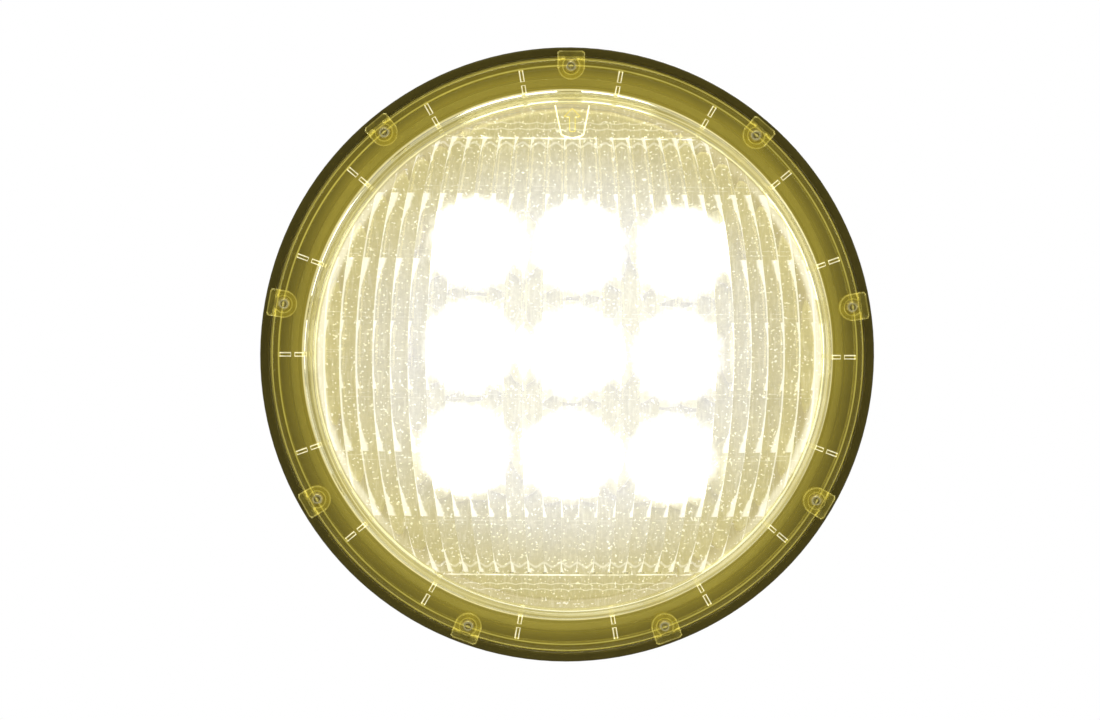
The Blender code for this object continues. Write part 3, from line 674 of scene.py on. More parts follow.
class Solid:
    """Closed shells gathered into one mesh, each face with the number of its finish."""

    def __init__(self) -> None:
        """Start with nothing."""
        self.points: list[Point] = []
        self.faces: list[tuple[int, ...]] = []
        self.finishes: list[int] = []
        self.cells: dict[int, Flat] = {}

    def point(self, x: float, y: float, z: float) -> int:
        """Add a point and return its number."""
        self.points.append((x, y, z))
        return len(self.points) - 1

    def face(self, corners: Sequence[int], finish: int = 0) -> None:
        """Add a face, leaving out corners named twice."""
        kept = tuple(dict.fromkeys(corners))
        if len(kept) > 2:
            self.faces.append(kept)
            self.finishes.append(finish)

    def band(self, first: Sequence[int], second: Sequence[int], finish: int) -> None:
        """Join two rings of points; a ring of one point is a pole."""
        count = max(len(first), len(second))
        for step in range(count):
            ahead = (step + 1) % count
            near = (first[step % len(first)], first[ahead % len(first)])
            self.face((*near, second[ahead % len(second)], second[step % len(second)]), finish)

    def loops(
        self, rings: Sequence[Sequence[int]], finishes: Sequence[int] = (), closed: bool = False,
        cap: int | None = None,
    ) -> None:
        """Join rings of points in order.

        Args:
            rings: the rings, each with the same number of points or just one.
            finishes: the number of the finish between each ring and the next; all 0 if left out.
            closed: whether the last ring joins the first.
            cap: the number of the finish of a face over each end, if the ends are to be closed.
        """
        pairs = list(zip(rings, rings[1:]))
        if closed:
            pairs.append((rings[-1], rings[0]))
        for index, (first, second) in enumerate(pairs):
            self.band(first, second, finishes[index] if finishes else 0)
        if cap is not None:
            self.face(rings[0], cap)
            self.face(rings[-1], cap)

    def flat_ring(self, outline: Iterable[Flat], y: float) -> list[int]:
        """Add an (x, z) outline at one depth."""
        return [self.point(x, y, z) for x, z in outline]

    def turned(self, outline: Sequence[Flat], steps: int, centre: Flat = (0.0, 0.0)) -> None:
        """Turn an outline of (radius, y) points about a line along Y through an (x, z) centre."""
        rings = []
        for radius, y in outline:
            points = circle(radius, steps) if radius > TINY else [(0.0, 0.0)]
            rings.append(self.flat_ring(shifted(points, centre), y))
        self.loops(rings, closed=outline[0][0] > TINY)

    def slab(self, outline: Sequence[Flat], low: float, high: float, bevel: float) -> None:
        """Extrude an (x, z) outline along Y, with a bevel round its high end."""
        small = inset(outline, bevel)
        steps = ((outline, low), (outline, high - bevel), (small, high))
        self.loops([self.flat_ring(ring, y) for ring, y in steps], cap=0)

    def ridge(
        self, path: Sequence[Flat], width: float, height: float, surface: Surface, finish: int = 0,
        looped: bool = False,
    ) -> None:
        """Raise a rounded ridge along a path over a surface that faces -Y.

        Args:
            path: the (x, z) points along the middle of the ridge.
            width: how wide its foot is.
            height: how far it stands out.
            surface: gives the surface's y at an (x, z) place.
            finish: the number of the finish.
            looped: whether the path's end joins its start.
        """
        sections: list[list[int]] = []
        count = len(path)
        for index, point in enumerate(path):
            before = path[index - 1] if looped or index else point
            after = path[(index + 1) % count] if looped or index < count - 1 else point
            along = (Vector(after) - Vector(before)).normalized()
            section = []
            for sideways, out in RIDGE_PROFILE:
                x, z = point[0] - along.y * sideways * width, point[1] + along.x * sideways * width
                section.append(self.point(x, surface(x, z) + out * height, z))
            sections.append(section)
        self.loops(sections, [finish] * count, looped, None if looped else finish)

    def mesh(self, name: str, finishes: Sequence[Finish], sharp: float) -> Object:
        """Close the shells into an object with outward faces and its materials."""
        mesh = bpy.data.meshes.new(name)
        mesh.from_pydata(self.points, [], self.faces)
        for finish in finishes:
            mesh.materials.append(material_of(finish))
        mesh.polygons.foreach_set("material_index", self.finishes)
        if self.cells:
            layer = mesh.uv_layers.new(name=FrontLens.CELL_MAP)
            corners = [self.cells.get(loop.vertex_index, (0.5, 0.5)) for loop in mesh.loops]
            layer.data.foreach_set("uv", [value for corner in corners for value in corner])
        bm = bmesh.new()
        bm.from_mesh(mesh)
        bmesh.ops.recalc_face_normals(bm, faces=bm.faces)
        bm.to_mesh(mesh)
        bm.free()
        mesh.shade_smooth()
        mesh.set_sharp_from_angle(angle=sharp)
        made = bpy.data.objects.new(name, mesh)
        bpy.context.scene.collection.objects.link(made)
        return made

    def stand_for(
        self, node: str, how: str, slot: Slot, *finishes: Finish, body: Body = Body.LAMP,
        sharp: float = SMOOTH_ANGLE,
    ) -> Object:
        """Make the piece that stands for a CAD node and rides on its body.

        Args:
            node: the CAD node.
            how: how the piece is made, the last word of its name.
            slot: the record's material slot; not used.
            finishes: the finishes in the order of their numbers.
            body: the body that it rides on.
            sharp: the angle in radians over which an edge is sharp.

        Returns:
            The piece.
        """
        piece = self.mesh(f"{node}_{how}", finishes, sharp)
        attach(piece, body.value)
        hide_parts(node)
        LOG.info("%s rides on %s", piece.name, body.value)
        return piece


def dress_nodes(finish: Finish, slot: Slot, *nodes: str) -> None:
    """Give CAD nodes that stay in the scene their finish."""
    for node in nodes:
        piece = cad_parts[node]
        piece.data.materials.clear()
        piece.data.materials.append(material_of(finish))
        LOG.info("%s keeps its CAD shape, finish %s", node, finish.name)


def numbered(stem: str, count: int) -> list[str]:
    """Return names that end in 1, 2, 3 and so on."""
    return [f"{stem}_{number}" for number in range(1, count + 1)]


# --- Sub-assemblies ---


@dataclass(frozen=True)
class FlangeLayout:
    """Where the screws sit round the flange."""

    count: int = 9
    radius: float = 0.0836
    first_deg: float = 90.0

    def angles(self) -> list[float]:
        """Return the screws' angles in degrees, the first one at the top."""
        return [self.first_deg + 360.0 / self.count * index for index in range(self.count)]


@dataclass(frozen=True)
class FrontLens:
    """The clear front: fluted dome, stepped rings, ribbed channel, bead and screw lugs."""

    CELL_MAP = "lenslets"

    flange: FlangeLayout
    crown: float = -0.0280
    edge: float = -0.0175
    face_radius: float = 0.0729
    face_margin: float = 0.00002
    thickness: float = 0.0030
    back: float = -0.0063
    meridian_radius: float = 0.1120
    flute_deg: float = 2.906
    flutes_aside: int = 14
    flute_parts: int = 8
    flute_slope_deg: float = 44.0
    row_middle: float = 0.0006
    row_edges: tuple[float, ...] = (0.0098, 0.0277, 0.0463, 0.0625)
    row_parts: int = 7
    segment_parts: int = 5
    pillow: float = 0.0007
    segment_drop: float = 0.0008
    edge_fade: float = 0.0050
    corner: float = 0.00035
    channel_floor: float = -0.0088
    channel_inner: float = 0.0766
    channel_outer: float = 0.0832
    bead_outer: float = 0.0853
    rib_offset_deg: float = 10.0
    rib_width: float = 0.0013
    rib_gap: Flat = (0.0791, 0.0801)
    rib_front: float = -0.0100
    lug_front: float = -0.0108
    lug_half: float = 0.00395
    lug_end: float = 0.0880
    lug_steps: int = 40
    lug_feet: Flat = (-0.0086, -0.0093)
    counterbore: float = 0.0023
    counterbore_floor: float = -0.0083
    screw_hole: float = 0.0016
    mark_circle: float = 0.0798
    mark_span_deg: Flat = (5.0, 6.4)

    def dome(self, radius: float, behind: float = 0.0) -> float:
        """Return the dome's y at a radius, or a thickness behind its front."""
        return self.crown + behind + (self.edge - self.crown) * (radius / self.face_radius) ** 2

    def segment(self, x: float, z: float) -> float:
        """Return the y of the plain segments above and below the lenslets."""
        return self.dome(math.hypot(x, z)) + self.segment_drop

    def floor(self, x: float, z: float) -> float:
        """Return the y of the channel's floor, the same everywhere."""
        return self.channel_floor

    def bow(self) -> float:
        """Return how deep a flute's groove is for each metre of half its width."""
        slope = math.radians(self.flute_slope_deg)
        return (1.0 - math.cos(slope)) / math.sin(slope)

    def columns(self) -> list[Point]:
        """Return the grid lines across the flutes: angle in radians, cell number and depth share."""
        slope = math.radians(self.flute_slope_deg)
        lines = []
        for flute in range(-self.flutes_aside, self.flutes_aside + 1):
            for part in range(self.flute_parts + (flute == self.flutes_aside)):
                lean = slope * (2.0 * part / self.flute_parts - 1.0)
                cell = flute + math.sin(lean) / math.sin(slope) / 2
                sag = (1.0 - math.cos(lean)) / math.sin(slope) / self.bow()
                lines.append((math.radians(cell * self.flute_deg), cell, sag))
        return lines

    def rows(self) -> list[Point]:
        """Return the grid lines up the face: z, row number and 1 on lenslets or 0 on plain segments."""
        half: list[Point] = []
        for row, (low, high) in enumerate(zip((0.0, *self.row_edges), self.row_edges)):
            for part in range(self.row_parts):
                share = part / self.row_parts
                half.append((low + (high - low) * share, row + share, 1.0))
        top = self.row_edges[-1]
        half.append((top, len(self.row_edges) - 0.001, 1.0))
        beyond = self.face_radius + 0.002 - top
        for part in range(self.segment_parts + 1):
            half.append((top + 0.0003 + beyond * part / self.segment_parts, 4.5, 0.0))
        below = [(-z, -row, fluted) for z, row, fluted in reversed(half[1:])]
        return [(z + self.row_middle, row, fluted) for z, row, fluted in below + half]

    def face_grid(self) -> tuple[list[list[Point]], list[list[Flat]]]:
        """Return the face's grid of points and, for each, its flute and row number."""
        half_width = self.meridian_radius * math.radians(self.flute_deg) / 2
        grid: list[list[Point]] = []
        cells: list[list[Flat]] = []
        for z, row, fluted in self.rows():
            narrow = math.sqrt(1.0 - (z / self.meridian_radius) ** 2)
            share = abs(row) % 1.0
            pillow = self.pillow * blend(share) ** 1.5 if abs(row) > 1.0 else self.pillow * share**3
            line: list[Point] = []
            marks: list[Flat] = []
            for longitude, column, sag in self.columns():
                x = self.meridian_radius * narrow * math.sin(longitude)
                depth = half_width * narrow * math.cos(longitude) * self.bow() * sag + pillow
                depth *= blend((self.face_radius + 0.0004 - math.hypot(x, z)) / self.edge_fade)
                drop = depth if fluted else self.segment_drop
                line.append((x, self.dome(math.hypot(x, z)) + drop, z))
                marks.append((column, row) if fluted else (0.0, 0.5))
            grid.append(line)
            cells.append(marks)
        return grid, cells

    def add_face(self, solid: Solid) -> list[int]:
        """Add the fluted face, cut to a circle.

        Args:
            solid: takes the face.

        Returns:
            The points on the circle in order of angle.
        """
        grid, cells = self.face_grid()
        kept: dict[Key, int] = {}
        crossed: dict[tuple[Key, Key], int] = {}

        def radius_at(key: Key) -> float:
            """Return a grid point's radius."""
            x, _, z = grid[key[0]][key[1]]
            return math.hypot(x, z)

        def corner(key: Key) -> int:
            """Return the number of a grid point inside the circle."""
            if key not in kept:
                kept[key] = solid.point(*grid[key[0]][key[1]])
                solid.cells[kept[key]] = cells[key[0]][key[1]]
            return kept[key]

        def crossing(inner: Key, outer: Key) -> int:
            """Return the number of the point where a grid line crosses the circle."""
            if (inner, outer) not in crossed:
                near, far = radius_at(inner), radius_at(outer)
                share = (self.face_radius - near) / (far - near)
                point = Vector(grid[inner[0]][inner[1]]).lerp(Vector(grid[outer[0]][outer[1]]), share)
                scale = self.face_radius / math.hypot(point.x, point.z)
                number = solid.point(point.x * scale, point.y, point.z * scale)
                first, second = Vector(cells[inner[0]][inner[1]]), Vector(cells[outer[0]][outer[1]])
                solid.cells[number] = tuple(first.lerp(second, share))
                crossed[(inner, outer)] = number
            return crossed[(inner, outer)]

        for row in range(len(grid) - 1):
            for column in range(len(grid[0]) - 1):
                keys = [(row, column), (row, column + 1), (row + 1, column + 1), (row + 1, column)]
                inside = [radius_at(key) < self.face_radius - self.face_margin for key in keys]
                if not any(inside):
                    continue
                polygon: list[int] = []
                for index, key in enumerate(keys):
                    ahead = (index + 1) % 4
                    if inside[index]:
                        polygon.append(corner(key))
                    if inside[index] != inside[ahead]:
                        pair = (key, keys[ahead]) if inside[index] else (keys[ahead], key)
                        polygon.append(crossing(*pair))
                solid.face(polygon)
        return sorted(crossed.values(), key=lambda n: math.atan2(solid.points[n][2], solid.points[n][0]))

    def section(self) -> list[Flat]:
        """Return the section outside the face: rings, step, channel, bead, flange and inner dome."""
        outer = [
            (self.face_radius, self.edge), (0.0732, -0.0174), (0.0745, -0.0173), (0.0757, -0.0166),
            (self.channel_inner, self.channel_floor), (self.channel_outer, self.channel_floor),
            (self.channel_outer + 0.0002, -0.0104), (0.0852, -0.0104), (0.0860, -0.0092),
            (0.0860, self.back), (0.0744, self.back), (0.0738, -0.0142), (0.0724, -0.0152),
        ]
        inner_edge = self.face_radius - self.thickness
        for share in (1.0, 0.75, 0.5, 0.25):
            outer.append((inner_edge * share, self.dome(inner_edge * share, self.thickness)))
        return rounded(outer, self.corner, 2, closed=False)[1:]

    def add_body(self, solid: Solid) -> None:
        """Add the face and everything that is turned about the axis, as one closed shell."""
        rim = self.add_face(solid)
        angles = [math.degrees(math.atan2(solid.points[n][2], solid.points[n][0])) for n in rim]
        rings = [rim]
        for radius, y in self.section():
            rings.append(solid.flat_ring([on_circle(radius, degrees) for degrees in angles], y))
        rings.append([solid.point(0.0, self.crown + self.thickness, 0.0)])
        solid.loops(rings)

    def add_rib(self, solid: Solid, degrees: float) -> None:
        """Add one radial rib across the channel, with a gap in the middle of its length."""
        half = self.rib_width / 2
        gap_start, gap_end = self.rib_gap
        for low, high in (
            (self.channel_inner - 0.0004, gap_start),
            (gap_end, self.channel_outer + 0.0004),
        ):
            outline = rotated([(low, -half), (high, -half), (high, half), (low, half)], degrees)
            rings = [
                solid.flat_ring(outline, self.channel_floor + 0.0005),
                solid.flat_ring(outline, self.rib_front + 0.0004),
                solid.flat_ring(inset(outline, self.corner), self.rib_front),
            ]
            # The rib's sides take a painted edge highlight, and its bevelled top edge takes the
            # brightest painted highlight.
            solid.loops(rings, (2, 3), cap=0)

    def lug_outline(self, degrees: float, widen: float) -> list[Flat]:
        """Return a lug's outline round its screw, with as many points as its hole has."""
        half = self.lug_half + widen
        reach = self.lug_end - self.flange.radius + widen
        points: list[Flat] = []
        for out, aside in circle(1.0, self.lug_steps):
            scale = half
            if out > 0.0:
                scale = min(reach / max(out, TINY), half / max(abs(aside), TINY))
            points.append((out * scale, aside * scale))
        return shifted(rotated(points, degrees), on_circle(self.flange.radius, degrees))

    def add_lug(self, solid: Solid, degrees: float) -> None:
        """Add one tongue that carries a flange screw and reaches over the rim, with its counterbore."""
        centre = on_circle(self.flange.radius, degrees)
        front, low = self.lug_front, self.lug_front + self.corner
        outer = self.lug_outline(degrees, 0.0)
        feet = [self.lug_feet[math.hypot(x, z) > self.bead_outer] for x, z in outer]
        rings = [
            [solid.point(x, y, z) for (x, z), y in zip(outer, feet)],
            solid.flat_ring(outer, low),
            solid.flat_ring(self.lug_outline(degrees, -self.corner), front),
        ]
        for radius, y in (
            (self.counterbore + self.corner, front),
            (self.counterbore, low),
            (self.counterbore, self.counterbore_floor),
            (self.screw_hole, self.counterbore_floor),
            (self.screw_hole, -0.0080),
            (0.0030, -0.0080),
        ):
            rings.append(solid.flat_ring(shifted(circle(radius, self.lug_steps, degrees), centre), y))
        # The lug takes a faint painted glow, with painted highlights on its outer bevel and on the
        # counterbore's chamfer.
        solid.loops(rings, (1, 2, 1, 2, 1, 1, 1, 1, 1), closed=True)

    def add_marks(self, solid: Solid, degrees: float) -> None:
        """Add the small moulding marks on the channel's floor each side of a screw."""
        for side in (-1.0, 1.0):
            start, end = (degrees + side * away for away in self.mark_span_deg)
            path = [on_circle(self.mark_circle, start + (end - start) * step / 4) for step in range(5)]
            solid.ridge(path, 0.0004, 0.00010, self.floor)

    def add_arrow(self, solid: Solid) -> None:
        """Add the pad with the upward arrow that marks the top of the lens."""
        pad = [(0.0049, 0.0722), (0.0032, 0.0638), (0.0024, 0.0634), (0.0, 0.0628)]
        pad += [(-x, z) for x, z in reversed(pad[:-1])]
        # The pad takes the brightest painted highlight, and the arrow takes a painted edge highlight.
        solid.ridge(rounded(pad, 0.0003, 3, closed=False), 0.0004, 0.0004, self.segment, 3)
        arrow = [(0.0, 0.0713), (0.0024, 0.0689), (0.0008, 0.0689), (0.0008, 0.0647)]
        arrow += [(-x, z) for x, z in reversed(arrow[1:])]
        solid.ridge(rounded(arrow, 0.0003, 2), 0.0003, 0.00025, self.segment, 2, looped=True)

    def build(self) -> None:
        """Build the lens as one piece that casts no shadow, so that its light gets out."""
        solid = Solid()
        self.add_body(solid)
        for degrees in self.flange.angles():
            self.add_lug(solid, degrees)
            self.add_marks(solid, degrees)
            for side in (-1.0, 1.0):
                self.add_rib(solid, degrees + side * self.rib_offset_deg)
        self.add_arrow(solid)
        # Finishes 1 to 3 carry painted glow and painted edge highlights.
        finishes = (CLEAR, CLEAR_BOSS, CLEAR_EDGE, PAINTED_EDGE_HIGHLIGHT)
        piece = solid.stand_for("front_lens", "moulding", Slot.COVER, *finishes)
        piece.visible_shadow = False


@dataclass(frozen=True)
class RearHousing:
    """The dark housing: rim, flange, bowl with stiffening ribs, and the terminal block."""

    rim_radius: float = 0.0890
    rim_front: float = -0.0090
    rim_inner: float = 0.0864
    flange_front: float = -0.0060
    groove: Point = (0.0776, 0.0806, -0.0038)
    pocket: float = 0.0710
    ledge: Flat = (0.0620, 0.0060)
    bowl_radius: float = 0.0745
    bowl_end_radius: float = 0.0340
    bowl_depth: float = 0.0580
    inner_start: float = 0.36
    wall: float = 0.0026
    end_wall: Flat = (0.0610, 0.0640)
    block_half: Flat = (0.0280, 0.0120)
    block_end: float = 0.0820
    block_bevel: float = 0.0004
    bay_floor: float = 0.0700
    bay_half_z: float = 0.0095
    barrier_half: float = 0.0015
    steps: int = 144
    stiffeners: int = 12
    stiffener_first_deg: float = 15.0
    stiffener_parts: int = 14
    stiffener_fade: float = 0.12

    def bowl(self, y: float) -> float:
        """Return the bowl's outer radius at a depth behind the seat."""
        opening, end = self.bowl_radius**2, self.bowl_end_radius**2
        return math.sqrt(opening - (opening - end) * min(1.0, max(0.0, y / self.bowl_depth)))

    def section(self) -> list[Flat]:
        """Return the housing's section, from the middle of the end wall round to its inside."""
        groove_inner, groove_outer, groove_floor = self.groove
        wall_inside, wall_outside = self.end_wall
        front, rim, pocket = self.flange_front, self.rim_front, self.pocket
        outer = [(0.0, wall_outside), (self.bowl_end_radius, wall_outside)]
        outer += [(self.bowl(y), y) for y in (self.bowl_depth * step / 12 for step in range(12, -1, -1))]
        outer += [
            (self.rim_radius, 0.0), (self.rim_radius, rim), (self.rim_inner, rim),
            (self.rim_inner, front), (groove_outer, front), (groove_outer, groove_floor),
            (groove_inner, groove_floor), (groove_inner, front), (pocket, front),
            (pocket, self.ledge[1]), self.ledge,
        ]
        start = self.bowl_depth * self.inner_start
        for step in range(9):
            y = start + (self.bowl_depth - start) * step / 8
            outer.append((self.bowl(y) - self.wall, y))
        outer += [(self.bowl_end_radius - self.wall, wall_inside), (0.0, wall_inside)]
        return rounded(outer, 0.0007, 3, closed=False)

    def add_stiffener(self, solid: Solid, degrees: float) -> None:
        """Add one low rib that runs down the outside of the bowl."""
        sections: list[list[int]] = []
        for step in range(self.stiffener_parts + 1):
            share = step / self.stiffener_parts
            y = 0.0030 + (self.bowl_depth - 0.0060) * share
            fade = blend(share / self.stiffener_fade) * blend((1.0 - share) / self.stiffener_fade)
            section = []
            for sideways, out in STIFFENER_PROFILE:
                rise = out if out < 0.0 else out * fade - 0.0001
                section.append((self.bowl(y) + rise, sideways))
            sections.append(solid.flat_ring(rotated(section, degrees), y))
        solid.loops(sections, cap=0)

    def add_block(self, solid: Solid) -> None:
        """Add the terminal block: its base, the two long walls and the barrier between the bays."""
        half_x, half_z = self.block_half
        bay, foot, bevel = self.bay_half_z, self.bay_floor - 0.0010, self.block_bevel
        base = rounded_box(half_x, half_z, 0.0030)
        solid.slab(base, self.end_wall[1] - 0.0006, self.bay_floor, bevel)
        for side in (-1.0, 1.0):
            near, far = side * bay, side * half_z
            wall = [(-half_x, near), (half_x, near), (half_x, far), (-half_x, far)]
            solid.slab(rounded(wall, 0.0011, 4), foot, self.block_end, bevel)
        barrier = rounded_box(self.barrier_half, (bay + half_z) / 2, 0.0004, 2)
        solid.slab(barrier, foot, self.block_end, bevel)

    def build(self) -> None:
        """Build the housing as one piece."""
        solid = Solid()
        solid.turned(self.section(), self.steps)
        for index in range(self.stiffeners):
            self.add_stiffener(solid, self.stiffener_first_deg + 360.0 / self.stiffeners * index)
        collar = [(0.0300, 0.0636), (0.0325, 0.0636), (0.0325, 0.0644), (0.0300, 0.0644)]
        solid.turned(rounded(collar, 0.0003, 2), 96)
        self.add_block(solid)
        solid.stand_for("rear_housing", "moulding", Slot.HOUSING, HOUSING)


@dataclass(frozen=True)
class FlangeScrews:
    """The nine steel screws that hold the lens and its seal to the housing."""

    flange: FlangeLayout
    end: float = -0.0015
    shank: float = 0.0013
    head_back: float = -0.0086
    head_radius: float = 0.00195

    def build(self) -> None:
        """Build each screw with its domed head and round recess."""
        section = [
            (0.0, self.end), (self.shank, self.end), (self.shank, self.head_back),
            (self.head_radius, self.head_back), (self.head_radius, -0.0096), (0.0015, -0.0103),
            (0.0009, -0.0105), (0.0007, -0.0096), (0.0, -0.0094),
        ]
        outline = rounded(section, 0.0002, 3, closed=False)
        for node, degrees in zip(numbered("flange_screw", self.flange.count), self.flange.angles()):
            solid = Solid()
            solid.turned(outline, 24, on_circle(self.flange.radius, degrees))
            solid.stand_for(node, "turned", Slot.STEEL, PASSIVATED)


@dataclass(frozen=True)
class Seal:
    """The silicone ring in the housing's groove."""

    inner: float = 0.0779
    outer: float = 0.0803
    back: float = -0.0041
    front: float = -0.0060

    def build(self) -> None:
        """Build the ring."""
        solid = Solid()
        back, front = self.back, self.front
        section = [(self.inner, back), (self.outer, back), (self.outer, front), (self.inner, front)]
        solid.turned(rounded(section, 0.0006, 4), 144)
        solid.stand_for("seal_ring", "moulding", Slot.SILICONE, SILICONE)


@dataclass(frozen=True)
class LightEngine:
    """The lit inside of the lamp: emitters, their cups, and the tray, board and heat sink round them."""

    pitch: float = 0.0300
    turn_deg: float = -2.4
    shift: Flat = (0.0017, 0.0012)
    base: float = 0.0005
    throat: float = 0.0042
    mouth: float = 0.0120
    cup_curve: float = 0.6
    cup_wall: float = 0.0011
    cup_rim: float = 0.0146
    cup_front: float = -0.0115
    rim_start: float = 0.0117
    rim_back: float = -0.0105
    emitter_half: float = 0.0025
    lens_radius: float = 0.0023
    lens_height: float = 0.0026

    def places(self) -> list[tuple[str, Flat]]:
        """Return each emitter's label and (x, z) place, row by row from the top left."""
        places: list[tuple[str, Flat]] = []
        for row in range(3):
            line = [((column - 1) * self.pitch, (1 - row) * self.pitch) for column in range(3)]
            centres = shifted(rotated(line, self.turn_deg), self.shift)
            places += zip(numbered(f"row{row + 1}", 3), centres)
        return places

    def build_cup(self, label: str, centre: Flat) -> None:
        """Build one reflector cup with its rolled rim."""
        inside = []
        for step in range(9):
            share = step / 8
            radius = self.throat + (self.mouth - self.throat) * share**self.cup_curve
            inside.append((radius, self.base + (self.cup_front - self.base) * share))
        outside = [(radius + self.cup_wall, y) for radius, y in reversed(inside[:-1])]
        neck = (self.mouth + self.cup_wall, self.rim_back)
        rim = [(self.cup_rim, self.cup_front), (self.cup_rim, self.rim_back), neck]
        solid = Solid()
        solid.turned(rounded(inside + rim + outside, 0.0004, 2), 40, centre)
        for index, corners in enumerate(solid.faces):
            nearest = min(math.dist(solid.points[n][::2], centre) for n in corners)
            solid.finishes[index] = int(nearest > self.rim_start)
        solid.stand_for(f"reflector_cup_{label}", "pressed", Slot.REFLECTOR, CUP, CUP_RIM)

    def build_emitter(self, label: str, centre: Flat) -> None:
        """Build one emitter: its square base and the dome over the phosphor."""
        solid = Solid()
        square = shifted(rounded_box(self.emitter_half, self.emitter_half, 0.0003, 2), centre)
        foot = self.base - 0.0010
        solid.slab(square, foot, self.base, 0.0001)
        dome = [(0.0, self.base - 0.0005), (self.lens_radius + 0.0001, self.base - 0.0005)]
        for step in range(7):
            out, up = on_circle(1.0, 15.0 * step)
            dome.append((self.lens_radius * out, foot - self.lens_height * up))
        solid.turned(dome, 24, centre)
        solid.stand_for(f"emitter_{label}", "domed", Slot.EMITTER, EMITTER)

    def build(self) -> None:
        """Build the cups and emitters and dress the pieces round them."""
        for label, centre in self.places():
            self.build_cup(label, centre)
            self.build_emitter(label, centre)
        dress_nodes(TRAY, Slot.TRAY, "reflector_tray")
        dress_nodes(BOARD, Slot.BOARD, "led_board")
        dress_nodes(ALUMINIUM, Slot.ALUMINIUM, "heat_sink")
        dress_nodes(STEEL, Slot.STEEL, *numbered("board_screw", 4))


class Driver:
    """The driver board, its standoffs, components and wires, all inside the housing."""

    PARTS: tuple[tuple[Finish, Slot, Sequence[str]], ...] = (
        (DRIVER, Slot.DRIVER, ("driver_board",)),
        (BRASS, Slot.BRASS, numbered("driver_standoff", 4)),
        (SLEEVE, Slot.SLEEVE, ("capacitor_large", "capacitor_small")),
        (COPPER, Slot.COPPER, ("inductor",)),
        (EPOXY, Slot.BLACK, ("rectifier", "controller_chip")),
        (RED, Slot.WIRE_RED, ("supply_wire_a", "led_wire_a")),
        (BLACK, Slot.WIRE_BLACK, ("supply_wire_b", "led_wire_b")),
        (RUBBER, Slot.RUBBER, ("post_seal_a", "post_seal_b")),
    )

    def build(self) -> None:
        """Dress each piece."""
        for finish, slot, nodes in self.PARTS:
            dress_nodes(finish, slot, *nodes)


